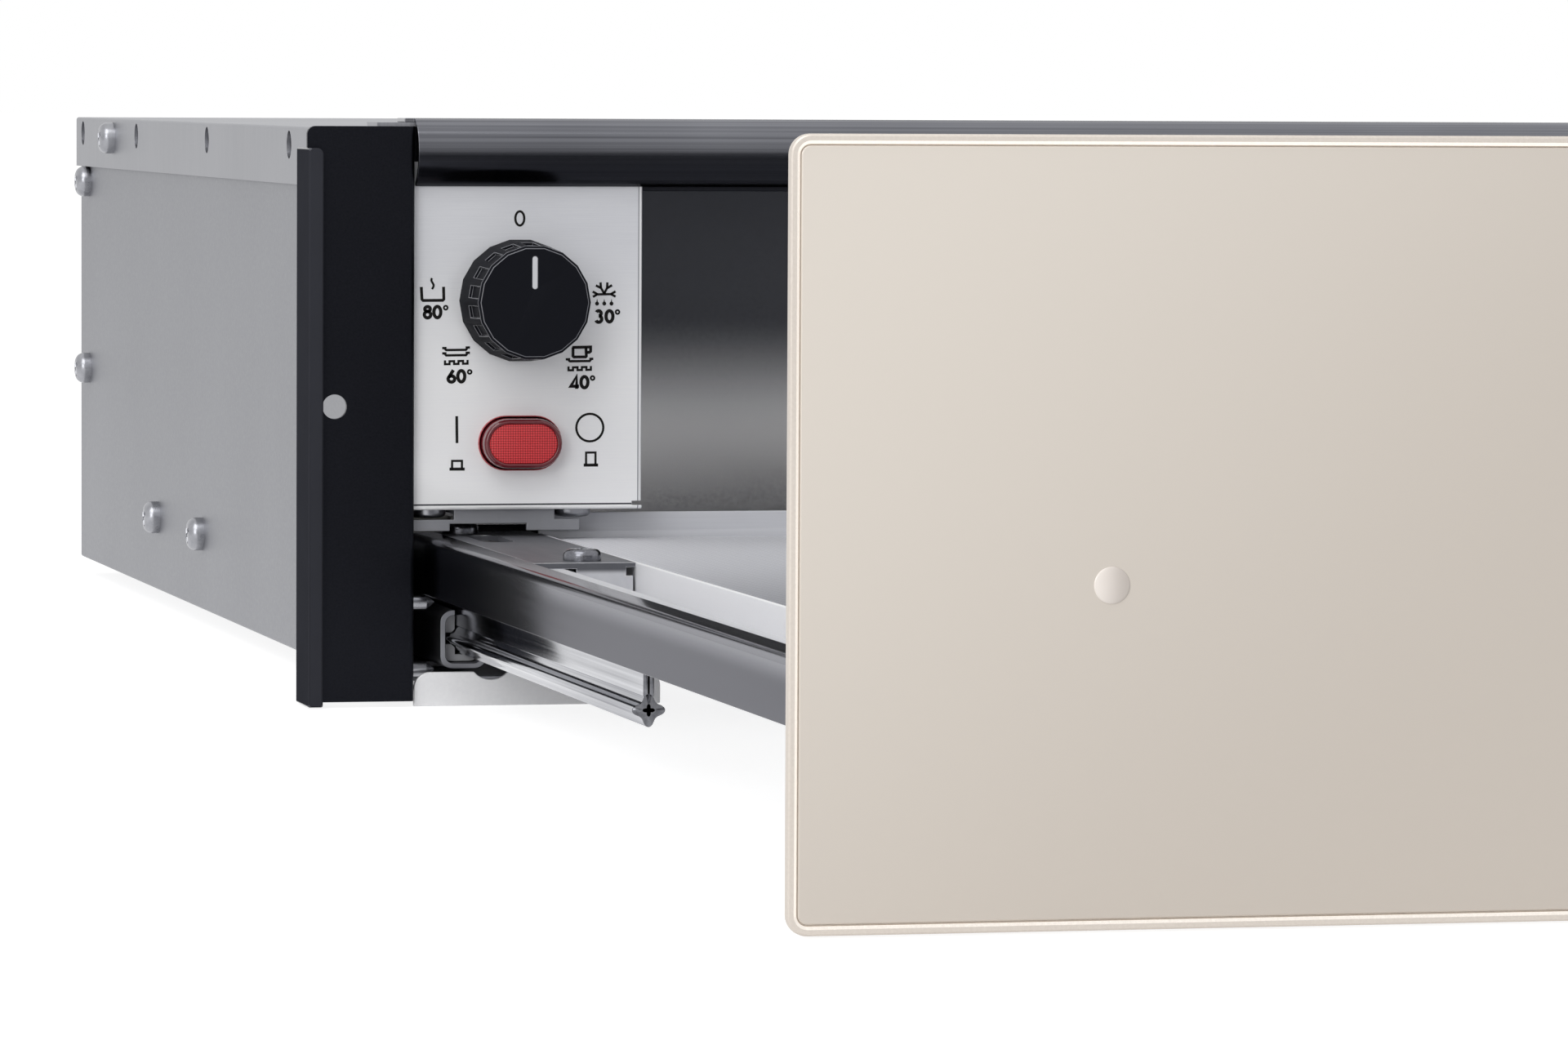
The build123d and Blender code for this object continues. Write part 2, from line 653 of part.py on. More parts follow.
with BuildPart() as front_frame:
    with BuildSketch(facing(lean_start)):
        frame_sheet(0, front_corner)
    extrude(amount=rim_depth)
    with BuildSketch(facing(lean_start)):
        frame_sheet(0, front_corner)
    with BuildSketch(facing(front_back_y)):
        frame_sheet(frame_taper, front_corner)
    loft()
    with BuildSketch(facing(front_face_y)):
        frame_sheet(frame_wall, front_corner - frame_wall)
    extrude(amount=-(glass_recess + glass_thickness), mode=Mode.SUBTRACT)
    with BuildSketch(facing(glass_back_y)):
        frame_sheet(frame_wall + seat_width, front_corner - frame_wall)
    extrude(amount=-front_depth, mode=Mode.SUBTRACT)
    lean_share = (glass_back_y + seat_thickness - lean_start) / (front_depth - rim_depth)
    with BuildSketch(facing(glass_back_y + seat_thickness)):
        frame_sheet(frame_wall + frame_taper * lean_share, front_corner - frame_wall)
    with BuildSketch(facing(carrier_y)):
        frame_sheet(frame_wall + frame_taper, front_corner - frame_wall)
    loft(mode=Mode.SUBTRACT)
    with BuildSketch(facing(carrier_y)):
        frame_sheet(frame_wall + frame_taper, front_corner - frame_wall)
    extrude(amount=-2 * carrier_sheet, mode=Mode.SUBTRACT)
    rim = front_frame.faces().sort_by(Axis.Y)[0].outer_wire().edges()
    chamfer(rim, 0.5)
save(front_frame, "front_frame")

# Front glass: coloured glass bonded into the frame, drilled for the status light.
with BuildPart() as front_glass:
    with BuildSketch(facing(glass_face_y)):
        with Locations((0, frame_mid)):
            RectangleRounded(front_width - 2 * frame_wall, front_height - 2 * frame_wall,
                             front_corner - frame_wall)
        with Locations((lens_x, up(lens_height))):
            Circle(lens_diameter / 2, mode=Mode.SUBTRACT)
    extrude(amount=-glass_thickness)
save(front_glass, "front_glass")

# Status light: a clear light guide with a domed face that shows the lit switch through the glass.
with BuildPart() as indicator_lens:
    with BuildSketch(facing(glass_face_y)):
        with Locations((lens_x, up(lens_height))):
            Circle(lens_diameter / 2)
    extrude(amount=-lens_length)
    with BuildSketch(facing(glass_face_y)):
        with Locations((lens_x, up(lens_height))):
            Circle(lens_diameter / 2)
    extrude(amount=lens_proud, taper=45)
    with BuildSketch(facing(glass_back_y)):
        with Locations((lens_x, up(lens_height))):
            Circle(lens_diameter / 2 + 1.5)
    extrude(amount=-1.5)
save(indicator_lens, "indicator_lens")

# Carrier: the steel plate behind the glass. It is cut out from its upper edge down, so that the closed
# front passes the controls.
with BuildPart() as front_carrier:
    with BuildSketch(facing(carrier_y)):
        frame_sheet(frame_wall + frame_taper, front_corner - frame_wall)
        window_left = -(control_left + recess_margin)
        window_right = -(control_right - recess_margin)
        window_low = control_bottom + 1.5
        window_high = front_bottom + front_height
        with Locations(((window_left + window_right) / 2, up((window_low + window_high) / 2))):
            Rectangle(window_right - window_left, window_high - window_low, mode=Mode.SUBTRACT)
    extrude(amount=-carrier_sheet)
save(front_carrier, "front_carrier")

# ================================================================ controls
control_spots = [screw_at(-control_left + inset, 10.5, control_bottom, (0, 0, -1)) for inset in (4.6, 40.0)]

# Control panel: stainless sheet with its right and lower edges folded back, notched at the corner.
panel_left, panel_right = -control_left, -control_right
control_back = control_face_y + control_depth
with BuildPart() as control_panel:
    slab(panel_left, panel_right, control_face_y, control_face_y + sheet, control_bottom, control_top)
    slab(panel_right - sheet, panel_right, control_face_y, control_back, control_bottom + 2, liner_height)
    slab(panel_left, panel_right - 2, control_face_y, control_back, control_bottom, control_bottom + sheet)
    slab(panel_right - 2.4, panel_right + 1, control_face_y - 1, control_face_y + sheet + 0.4,
         control_bottom + 0.9, control_bottom + 1.9, mode=Mode.SUBTRACT)
    with BuildSketch(facing(control_face_y)):
        with Locations((knob_x, up(knob_height))):
            Circle(5.2)
        with Locations((switch_x, up(switch_height))):
            SlotOverall(switch_width + 2 * switch_sleeve, switch_tall + 2 * switch_sleeve)
    extrude(amount=-sheet, mode=Mode.SUBTRACT)
    bottoms = [e for e in control_panel.edges().filter_by(Axis.X)
               if e.center().Y < control_face_y + 0.01 and e.center().Z < up(control_bottom) + 0.01]
    fillet(bottoms, sheet * 0.8)
    rights = [e for e in control_panel.edges().filter_by(Axis.Z)
              if e.center().Y < control_face_y + 0.01 and abs(e.center().X - panel_right) < 0.01
              and e.center().Z < up(liner_height - 5) and e.length > 20]
    fillet(rights, sheet * 0.8)
    drill(control_spots)
save(control_panel, "control_panel")

# Control box: galvanised cover that closes the panel's other sides, with a hole for the sensor tube.
sensor_exit = (-control_left + 9.2, knob_height + thermostat_size / 2 - 2.0)
with BuildPart() as control_box:
    slab(panel_left, panel_left + sheet, control_face_y + sheet, control_back, control_bottom + sheet,
         liner_height)
    slab(panel_left, panel_right - sheet, control_face_y + sheet + 2, control_back, liner_height - sheet,
         liner_height)
    slab(panel_left, panel_right - sheet, control_back - sheet, control_back, control_bottom + sheet,
         liner_height)
    with BuildSketch(facing(control_back)):
        with Locations((sensor_exit[0], up(sensor_exit[1])), (sensor_exit[0], up(knob_height - 7.0))):
            Circle(2.4)
    extrude(amount=2 * sheet, both=True, mode=Mode.SUBTRACT)
save(control_box, "control_box")

# Bracket under the control panel, with room for the screw heads above and the cover screw below.
hang_front = 5.0
hang_bottom = drawer_top + 1.4
with BuildPart() as control_bracket:
    slab(panel_left, panel_left + 40.8, hang_front, hang_front + bracket_sheet, hang_bottom,
         control_bottom - 2.4)
    slab(panel_left + 10.2, panel_left + 34.7, hang_front, hang_front + bracket_sheet, hang_bottom,
         control_bottom)
    slab(panel_left + 10.2, panel_left + 34.7, hang_front, hang_front + 12,
         control_bottom - bracket_sheet, control_bottom)
    for x, y in cover_screw_spots:
        slab(-x - cover_head_pass, -x + cover_head_pass, hang_front - 1, hang_front + 3, hang_bottom - 1,
             drawer_top + cover_head_height + 0.5, mode=Mode.SUBTRACT)
save(control_bracket, "control_bracket")

# Thermostat: boxed switch with a threaded neck that guides the spindle.
neck_radius = 4.6
with BuildPart() as thermostat:
    slab(knob_x - thermostat_size / 2, knob_x + thermostat_size / 2, control_face_y + sheet,
         control_face_y + 32, knob_height - thermostat_size / 2, knob_height + thermostat_size / 2)
    fillet(thermostat.edges().filter_by(Axis.Y), 2.0)
    with BuildSketch(facing(control_face_y + sheet)):
        with Locations((knob_x, up(knob_height))):
            Circle(neck_radius)
    extrude(amount=sheet + 1.0)
    with BuildSketch(facing(control_face_y)):
        with Locations((knob_x, up(knob_height))):
            Circle(spindle_diameter / 2 + running_gap)
    extrude(amount=-18)
    with BuildSketch(facing(control_face_y - 2)):
        with Locations((knob_x, up(knob_height))):
            Circle(spindle_diameter / 2 + running_gap)
    extrude(amount=-17, mode=Mode.SUBTRACT)
    for n in range(3):
        slab(knob_x - 10 + n * 7.5, knob_x - 5 + n * 7.5, control_face_y + 32, control_face_y + 40,
             knob_height - 10, knob_height - 9.2)
save(thermostat, "thermostat")

# Knob: black plastic that tapers to its face over flats, hollow behind, pushed on the spindle. Each flat
# has a shallow pocket whose floor runs parallel to the axis, so it is deepest at its back end.
knob_front_y = control_face_y - knob_length
knob_back_y = control_face_y - 0.5
with BuildPart() as control_knob:
    with BuildSketch(facing(knob_back_y)):
        with Locations((knob_x, up(knob_height))):
            RegularPolygon(knob_base_diameter / 2, knob_facets)
    with BuildSketch(facing(knob_front_y)):
        with Locations((knob_x, up(knob_height))):
            RegularPolygon(knob_face_diameter / 2, knob_facets)
    loft()
    face_edges = control_knob.faces().sort_by(Axis.Y)[0].outer_wire().edges()
    chamfer(face_edges, 0.6)
    with BuildSketch(facing(knob_front_y + recess_start)):
        with Locations((knob_x, up(knob_height))):
            with PolarLocations(knob_face_diameter / 2 + 1.5, knob_facets, start_angle=180 / knob_facets):
                Rectangle(2 * (1.5 + recess_depth), recess_width)
    extrude(amount=-recess_length, mode=Mode.SUBTRACT)
    with BuildSketch(facing(knob_back_y)):
        with Locations((knob_x, up(knob_height))):
            Circle(knob_face_diameter / 2 - 2.0)
            Circle(5.0, mode=Mode.SUBTRACT)
    extrude(amount=knob_length - 3.5, mode=Mode.SUBTRACT)
    with BuildSketch(facing(knob_back_y)):
        with Locations((knob_x, up(knob_height))):
            Circle(spindle_diameter / 2)
    extrude(amount=knob_length - 5.0, mode=Mode.SUBTRACT)
    slab(knob_x - 6, knob_x + 6, control_face_y - 3.6, control_face_y, knob_height - 6, knob_height + 6,
         mode=Mode.SUBTRACT)
    with BuildSketch(facing(knob_front_y - 1)):
        with Locations((knob_x, up(knob_height + pointer_middle))):
            SlotOverall(pointer_length, pointer_width, rotation=90)
    extrude(amount=-1.6, mode=Mode.SUBTRACT)
save(control_knob, "control_knob")

# Pointer: white strip set into the face of the knob.
with BuildPart() as knob_pointer:
    with BuildSketch(facing(knob_front_y - 0.05)):
        with Locations((knob_x, up(knob_height + pointer_middle))):
            SlotOverall(pointer_length, pointer_width, rotation=90)
    extrude(amount=-0.65)
save(knob_pointer, "knob_pointer")

# Spindle of the thermostat, which the knob turns.
with BuildPart() as knob_spindle:
    with BuildSketch(facing(control_face_y - knob_length + 4.5)):
        with Locations((knob_x, up(knob_height))):
            Circle(spindle_diameter / 2)
    extrude(amount=-(knob_length - 4.5 + 14.0))
save(knob_spindle, "knob_spindle")

# Lit push switch: red bezel whose sleeve lines the panel, black body behind it, and the red button.
pocket_depth = 9.0
sleeve_back = control_face_y + sheet


def switch_slot(margin):
    """Outline of the button, larger by margin all round."""
    with Locations((switch_x, up(switch_height))):
        SlotOverall(switch_width + 2 * margin, switch_tall + 2 * margin)


with BuildPart() as switch_bezel:
    with BuildSketch(facing(control_face_y)):
        switch_slot(switch_bezel_width)
    extrude(amount=0.8)
    with BuildSketch(facing(control_face_y)):
        switch_slot(switch_sleeve)
    extrude(amount=-sheet)
    with BuildSketch(facing(control_face_y - 0.8)):
        switch_slot(touch_gap)
    extrude(amount=-(0.8 + sheet), mode=Mode.SUBTRACT)
save(switch_bezel, "switch_bezel")

with BuildPart() as switch_body:
    slab(switch_x - 14, switch_x + 14, sleeve_back, control_face_y + 26,
         switch_height - switch_body_tall / 2, switch_height + switch_body_tall / 2)
    fillet(switch_body.edges().filter_by(Axis.Y), 1.5)
    with BuildSketch(facing(sleeve_back)):
        switch_slot(touch_gap)
    extrude(amount=-pocket_depth, mode=Mode.SUBTRACT)
    slab(switch_x - 10, switch_x - 9.2, control_face_y + 26, control_face_y + 33, switch_height - 4,
         switch_height + 2)
    slab(switch_x + 9.2, switch_x + 10, control_face_y + 26, control_face_y + 33, switch_height - 4,
         switch_height + 2)
save(switch_body, "switch_body")

with BuildPart() as switch_button:
    with BuildSketch(facing(control_face_y - switch_proud)):
        with Locations((switch_x, up(switch_height))):
            SlotOverall(switch_width, switch_tall)
    extrude(amount=-(switch_proud + sheet + pocket_depth - switch_travel - touch_gap))
    fillet(switch_button.faces().sort_by(Axis.Y)[0].outer_wire().edges(), 1.2)
save(switch_button, "switch_button")

# ================================================================ heating
# Heat shield: bright sheet with turned-up edges, lying on the floor under the heater.
shield_top = bottom_panel_top + shield_sheet
with BuildPart() as heat_shield:
    slab(-shield_half_width, shield_half_width, shield_front, shield_back, bottom_panel_top, shield_top)
    for side, s in SIDES:
        slab(s * shield_half_width, s * (shield_half_width - shield_sheet), shield_front, shield_back,
             bottom_panel_top, shield_top + 6)
save(heat_shield, "heat_shield")

# Heater: one sheathed tube bent into even runs, both ends at the back.
heater_height = shield_top + tube_lift
run_x = [(-(heater_runs - 1) / 2 + n) * heater_pitch for n in range(heater_runs)]
bend_radius = heater_pitch / 2 - 0.5
heater_points = [(run_x[0], heater_end)]
for n, x in enumerate(run_x):
    turn_y = heater_front if n % 2 == 0 else heater_back
    heater_points.append((x, turn_y))
    if n + 1 < heater_runs:
        heater_points.append((run_x[n + 1], turn_y))
heater_points[-1] = (run_x[-1], heater_end)
with BuildPart() as heater_element:
    with BuildLine() as heater_path:
        FilletPolyline(*[(x, y, up(heater_height)) for x, y in heater_points], radius=bend_radius)
    with BuildSketch(Plane(origin=(run_x[0], heater_end, up(heater_height)), z_dir=(0, -1, 0))):
        Circle(tube_diameter / 2)
    sweep(path=heater_path.line)
save(heater_element, "heater_element")

# Saddles that hold the heater clear of the shield.
saddle_y = (heater_front + 50, heater_back - 60)
with BuildPart() as heater_saddles:
    for x in run_x:
        for y in saddle_y:
            slab(x - 7, x + 7, y - 4, y + 4, shield_top, heater_height + 1.5)
    with BuildSketch(facing(heater_front)):
        with Locations(*[(x, up(heater_height)) for x in run_x]):
            Circle(tube_diameter / 2)
        with Locations(*[(x, up(heater_height + 2)) for x in run_x]):
            Rectangle(tube_diameter, 4)
    extrude(amount=-(heater_back - heater_front), mode=Mode.SUBTRACT)
save(heater_saddles, "heater_saddles")

# Safety cut-out: a small capsule with two ears on the shield.
with BuildPart() as thermal_cutout:
    slab(-13, 13, 245, 255, shield_top, shield_top + 1)
    with BuildSketch(Plane.XY.offset(up(shield_top + 1))):
        with Locations((0, 250)):
            Circle(8)
    extrude(amount=7)
    for x in (-3, 3):
        slab(x - 0.4, x + 0.4, 247, 253, shield_top + 8, shield_top + 13)
save(thermal_cutout, "thermal_cutout")

# Sensor: the thermostat's filled tube, led along the left wall and round the back to a bulb on the shield.
tube_radius = 1.0
sensor_low = shield_top + bulb_diameter / 2
sensor_wall_x = -(side_inner - 4.5)
bulb_x = run_x[0] + heater_pitch / 2
bulb_back = heater_back - 80
sensor_back_y = rear_inner - 11
sensor_points = [(sensor_exit[0], control_face_y + 32, sensor_exit[1]),
                 (sensor_exit[0], control_back + 12, sensor_exit[1]),
                 (sensor_wall_x, control_back + 30, sensor_exit[1]),
                 (sensor_wall_x, sensor_back_y, sensor_exit[1]),
                 (sensor_wall_x, sensor_back_y, sensor_low),
                 (bulb_x, sensor_back_y, sensor_low),
                 (bulb_x, bulb_back, sensor_low)]
with BuildPart() as sensor_capillary:
    with BuildLine() as sensor_path:
        FilletPolyline(*[(x, y, up(h)) for x, y, h in sensor_points], radius=8.0)
    with BuildSketch(Plane(origin=(sensor_points[0][0], sensor_points[0][1], up(sensor_exit[1])),
                           z_dir=(0, 1, 0))):
        Circle(tube_radius)
    sweep(path=sensor_path.line)
    with BuildSketch(facing(bulb_back)):
        with Locations((bulb_x, up(sensor_low))):
            Circle(bulb_diameter / 2)
    extrude(amount=bulb_length)
save(sensor_capillary, "sensor_capillary")

# Wiring: a sleeved loom from the terminal block along the left wall to the controls, and two leads
# from the block to the ends of the heater.
loom_end = (-control_left + 9.2, knob_height - 7.0)
loom_x = -(side_inner - 6.9)
block_left, block_right = gland_x - 22, gland_x + 22
lead_height = heater_height
loom_runs = [
    (loom_radius, [(block_left + 5, terminal_front + 28, bottom_panel_top + 9),
                   (block_left + 5, terminal_front + 35, bottom_panel_top + 9),
                   (loom_x, terminal_front + 35, bottom_panel_top + 9),
                   (loom_x, terminal_front + 30, loom_end[1]),
                   (loom_x, control_back + 25, loom_end[1]),
                   (loom_end[0], control_back + 14, loom_end[1]),
                   (loom_end[0], control_back - 3, loom_end[1])]),
    (lead_radius, [(run_x[0], heater_end, lead_height), (run_x[0], terminal_front + 14, lead_height),
                   (block_right, terminal_front + 14, lead_height)]),
    (lead_radius, [(run_x[-1], heater_end, lead_height), (run_x[-1], terminal_front + 23, lead_height),
                   (block_right, terminal_front + 23, lead_height)]),
]
with BuildPart() as wiring_loom:
    for radius, corners in loom_runs:
        start = Vector(corners[0][0], corners[0][1], up(corners[0][2]))
        ahead = Vector(corners[1][0], corners[1][1], up(corners[1][2])) - start
        with BuildLine() as loom_path:
            FilletPolyline(*[(x, y, up(h)) for x, y, h in corners], radius=4.0)
        with BuildSketch(Plane(origin=start, z_dir=ahead)):
            Circle(radius)
        sweep(path=loom_path.line)
save(wiring_loom, "wiring_loom")

# Terminal block on the floor, in front of the cable gland.
with BuildPart() as terminal_block:
    slab(gland_x - 22, gland_x + 22, terminal_front, terminal_front + 28, bottom_panel_top,
         bottom_panel_top + 12)
    for n in range(3):
        x = gland_x - 14 + n * 14
        slab(x - 5, x + 5, terminal_front - 2, terminal_front + 4, bottom_panel_top + 3,
             bottom_panel_top + 13, mode=Mode.SUBTRACT)
        with BuildSketch(Plane.XY.offset(up(bottom_panel_top + 12))):
            with Locations((x, terminal_front + 14)):
                Circle(3)
        extrude(amount=-4, mode=Mode.SUBTRACT)
save(terminal_block, "terminal_block")

# Cable gland in the rear panel: a threaded tube with a nut on each side. The cord itself is left out.
with BuildPart() as cable_gland:
    with BuildSketch(facing(body_depth + 18)):
        with Locations((gland_x, up(gland_height))):
            Circle(gland_thread)
    extrude(amount=25)
    with BuildSketch(facing(body_depth)):
        with Locations((gland_x, up(gland_height))):
            RegularPolygon(gland_thread + 3.0, 6)
    extrude(amount=-5)
    with BuildSketch(facing(rear_inner)):
        with Locations((gland_x, up(gland_height))):
            RegularPolygon(gland_thread + 2.6, 6)
    extrude(amount=4)
    with BuildSketch(facing(body_depth + 7)):
        with Locations((gland_x, up(gland_height))):
            Circle(gland_thread + 2.0)
    extrude(amount=-9)
    with BuildSketch(facing(body_depth + 18)):
        with Locations((gland_x, up(gland_height))):
            Circle(gland_bore_diameter / 2)
    extrude(amount=26, both=True, mode=Mode.SUBTRACT)
save(cable_gland, "cable_gland")

# ================================================================ push latch
# Latch body on the floor: pushing the front in lets the plunger throw the drawer out.
with BuildPart() as latch_body:
    slab(latch_x - 10, latch_x + 10, latch_front, latch_front + latch_length, bottom_panel_top,
         latch_height + latch_lift)
    fillet(latch_body.edges().filter_by(Axis.Y), 1.5)
    with BuildSketch(facing(latch_front)):
        with Locations((latch_x, up(latch_height))):
            Circle(plunger_diameter / 2 + running_gap)
    extrude(amount=-(30 + plunger_travel + touch_gap), mode=Mode.SUBTRACT)
save(latch_body, "latch_body")

with BuildPart() as latch_plunger:
    with BuildSketch(facing(latch_front - plunger_reach)):
        with Locations((latch_x, up(latch_height))):
            Circle(plunger_diameter / 2)
    extrude(amount=-(plunger_reach + 30))
    fillet(latch_plunger.faces().sort_by(Axis.Y)[0].outer_wire().edges(), 1.0)
save(latch_plunger, "latch_plunger")

# Striker under the tray: meets the plunger when the drawer is shut.
striker_y = latch_front - plunger_reach - travel - touch_gap
with BuildPart() as latch_striker:
    slab(latch_x - 5, latch_x + 5, striker_y - bracket_sheet, striker_y, latch_height - 5,
         tray_floor - tray_sheet)
    slab(latch_x - 5, latch_x + 5, striker_y - 18, striker_y, tray_floor - tray_sheet - bracket_sheet,
         tray_floor - tray_sheet)
save(latch_striker, "latch_striker")

# ================================================================ fasteners
def pan_screw(head, tall, length, point):
    """Pan-head screw standing on z = 0 with a cross recess; its shank hangs below and may be pointed."""
    with BuildPart() as screw:
        with BuildSketch(Plane.XY):
            Circle(head / 2)
        extrude(amount=tall)
        fillet(screw.edges().group_by(Axis.Z)[-1], tall * 0.55)
        with BuildSketch(Plane.XY):
            Circle(shank_diameter / 2)
        extrude(amount=-(length - point))
        if point:
            with BuildSketch(Plane.XY.offset(-(length - point))):
                Circle(shank_diameter / 2)
            with BuildSketch(Plane.XY.offset(-length)):
                Circle(0.3)
            loft()
        with BuildSketch(Plane.XY.offset(tall)):
            Rectangle(head * 0.5, 0.9)
            Rectangle(0.9, head * 0.5)
        extrude(amount=-tall * 0.4, mode=Mode.SUBTRACT)
    return screw.part


side_screw = pan_screw(pan_diameter, pan_height, side_screw_length, 0)
with BuildPart() as housing_screws:
    with Locations(*rear_side_screws, *slide_screws, *skirt_screws, *lid_rear_screws):
        add(side_screw)
save(housing_screws, "housing_screws")

# Self-tapping screws: through the returns of the flanges, their points towards the opening, and up into
# the bracket under the control panel, heads down.
return_screw = pan_screw(pan_diameter - 1, pan_height - 0.8, flange_sheet + 6.0, point_length)
control_screw = pan_screw(pan_diameter, control_head_height, control_screw_length, point_length)
with BuildPart() as tapping_screws:
    with Locations(*return_spots):
        add(return_screw)
    with Locations(*control_spots):
        add(control_screw)
save(tapping_screws, "tapping_screws")

# Screws of the rear covers into the drawer rails and the tray's foot.
cover_screw = pan_screw(pan_diameter - 0.3, cover_head_height, cover_screw_length, 0)
with BuildPart() as cover_screws:
    with Locations(*cover_spots):
        add(cover_screw)
save(cover_screws, "cover_screws")
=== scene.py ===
import json
import math

import bmesh
import bpy
import numpy as np
from mathutils import Matrix, Vector


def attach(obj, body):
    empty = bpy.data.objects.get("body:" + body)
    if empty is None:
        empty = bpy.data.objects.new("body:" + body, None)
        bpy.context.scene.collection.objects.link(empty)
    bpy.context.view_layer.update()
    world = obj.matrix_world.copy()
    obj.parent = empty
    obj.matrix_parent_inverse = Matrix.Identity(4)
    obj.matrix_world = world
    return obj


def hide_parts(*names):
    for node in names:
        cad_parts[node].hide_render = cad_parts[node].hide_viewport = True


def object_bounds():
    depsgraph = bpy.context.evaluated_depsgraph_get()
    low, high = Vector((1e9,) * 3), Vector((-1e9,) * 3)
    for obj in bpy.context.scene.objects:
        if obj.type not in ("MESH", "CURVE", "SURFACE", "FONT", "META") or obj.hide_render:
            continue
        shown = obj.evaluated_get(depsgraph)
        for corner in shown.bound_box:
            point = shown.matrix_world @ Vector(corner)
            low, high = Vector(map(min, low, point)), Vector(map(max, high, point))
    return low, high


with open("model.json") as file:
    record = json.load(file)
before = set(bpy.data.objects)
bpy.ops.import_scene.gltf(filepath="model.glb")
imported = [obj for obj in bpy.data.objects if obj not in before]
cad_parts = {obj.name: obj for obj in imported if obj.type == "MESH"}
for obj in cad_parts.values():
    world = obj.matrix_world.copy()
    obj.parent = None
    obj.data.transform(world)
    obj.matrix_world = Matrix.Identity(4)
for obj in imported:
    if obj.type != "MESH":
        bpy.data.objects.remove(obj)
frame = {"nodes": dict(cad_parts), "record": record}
cad_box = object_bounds()

# ---------------------------------------------------------------------------------------------------
# Camera. The photograph looks along the open drawer from in front of its left end, a little above the
# lid, with a long lens. Its place comes from the edges of the front, the lid and the flanges.
lens_mm = 177.571
stand = Vector((-0.60246, -1.81086, 0.07781))
yaw, pitch, roll = 0.22859, -0.05706, 0.00515
camera = bpy.data.objects.new("camera", bpy.data.cameras.new("camera"))
camera.data.lens = lens_mm
camera.data.sensor_width = 36.0
camera.data.clip_end = 80.0
ahead = Vector((math.sin(yaw) * math.cos(pitch), math.cos(yaw) * math.cos(pitch), math.sin(pitch)))
level = Vector((math.cos(yaw), -math.sin(yaw), 0.0))
aloft = level.cross(ahead)
right = math.cos(roll) * level + math.sin(roll) * aloft
top = -math.sin(roll) * level + math.cos(roll) * aloft
camera.matrix_world = Matrix.Translation(stand) @ Matrix((right, top, -ahead)).transposed().to_4x4()
bpy.context.scene.collection.objects.link(camera)
bpy.context.scene.camera = camera
bpy.context.scene.view_settings.view_transform = "Standard"


# ---------------------------------------------------------------------------------------------------
# Studio. A white room: the world is plain white to the eye, to metal and to glass, and softer where it
# lights the object; two large soft boxes stand in front and above. The floor keeps a faint shadow.
def linear(code):
    """An sRGB hex colour as linear red, green, blue and 1."""
    parts = np.array([int(code[i:i + 2], 16) / 255 for i in (1, 3, 5)])
    parts = np.where(parts <= 0.04045, parts / 12.92, ((parts + 0.055) / 1.055) ** 2.4)
    return (*parts.tolist(), 1.0)


def node(tree, kind, settings=None, inputs=None):
    """Adds one node; an input that is another node's socket is linked, any other is its value."""
    made = tree.nodes.new(kind)
    for name, value in (settings or {}).items():
        setattr(made, name, value)
    for name, value in (inputs or {}).items():
        if isinstance(value, bpy.types.NodeSocket):
            tree.links.new(value, made.inputs[name])
        else:
            made.inputs[name].default_value = value
    return made


def seen_directly(tree):
    """1 for what the camera, a mirror or a clear piece sees, 0 for what only lights the object."""
    path = node(tree, "ShaderNodeLightPath")
    first = node(tree, "ShaderNodeMath", {"operation": "MAXIMUM"},
                 {0: path.outputs["Is Camera Ray"], 1: path.outputs["Is Glossy Ray"]})
    return node(tree, "ShaderNodeMath", {"operation": "MAXIMUM"},
                {0: first.outputs[0], 1: path.outputs["Is Transmission Ray"]}).outputs[0]


room = bpy.data.worlds.new("white_room")
bpy.context.scene.world = room
room.use_nodes = True
room.node_tree.nodes.clear()
room_glow = node(room.node_tree, "ShaderNodeMapRange",
                 inputs={"Value": seen_directly(room.node_tree), "To Min": 0.52, "To Max": 1.0})
room_light = node(room.node_tree, "ShaderNodeBackground",
                  inputs={"Color": (1, 1, 1, 1), "Strength": room_glow.outputs[0]})
node(room.node_tree, "ShaderNodeOutputWorld", inputs={"Surface": room_light.outputs[0]})

for name, place, target, size, power in (("box_above", (-1.1, -1.2, 2.2), (0, -0.1, 0), 1.8, 26),
                                         ("box_front", (-1.9, -2.4, 0.9), (-0.1, -0.2, 0), 1.4, 19)):
    lamp = bpy.data.lights.new(name, "AREA")
    lamp.size = size
    lamp.energy = power
    holder = bpy.data.objects.new(name, lamp)
    holder.matrix_world = (Matrix.Translation(place)
                           @ (Vector(place) - Vector(target)).to_track_quat("Z", "Y").to_matrix().to_4x4())
    bpy.context.scene.collection.objects.link(holder)

paper = bpy.data.materials.new("white_paper_sweep")
paper.use_nodes = True
paper.node_tree.nodes.clear()
paper_body = node(paper.node_tree, "ShaderNodeBsdfDiffuse", inputs={"Color": (0.42, 0.42, 0.42, 1)})
paper_bounce = node(paper.node_tree, "ShaderNodeBsdfDiffuse", inputs={"Color": (0.8, 0.8, 0.8, 1)})
paper_glow = node(paper.node_tree, "ShaderNodeEmission", inputs={"Color": (1, 1, 1, 1), "Strength": 0.84})
paper_seen = node(paper.node_tree, "ShaderNodeAddShader",
                  inputs={0: paper_body.outputs[0], 1: paper_glow.outputs[0]})
paper_mix = node(paper.node_tree, "ShaderNodeMixShader",
                 inputs={0: seen_directly(paper.node_tree), 1: paper_bounce.outputs[0], 2: paper_seen.outputs[0]})
node(paper.node_tree, "ShaderNodeOutputMaterial", inputs={"Surface": paper_mix.outputs[0]})
floor_z = cad_box[0][2]
floor_mesh = bpy.data.meshes.new("floor")
floor_mesh.from_pydata([(-14, -10, floor_z), (14, -10, floor_z), (14, 30, floor_z), (-14, 30, floor_z)], [],
                       [(0, 1, 2, 3)])
floor_mesh.materials.append(paper)
floor = bpy.data.objects.new("floor", floor_mesh)
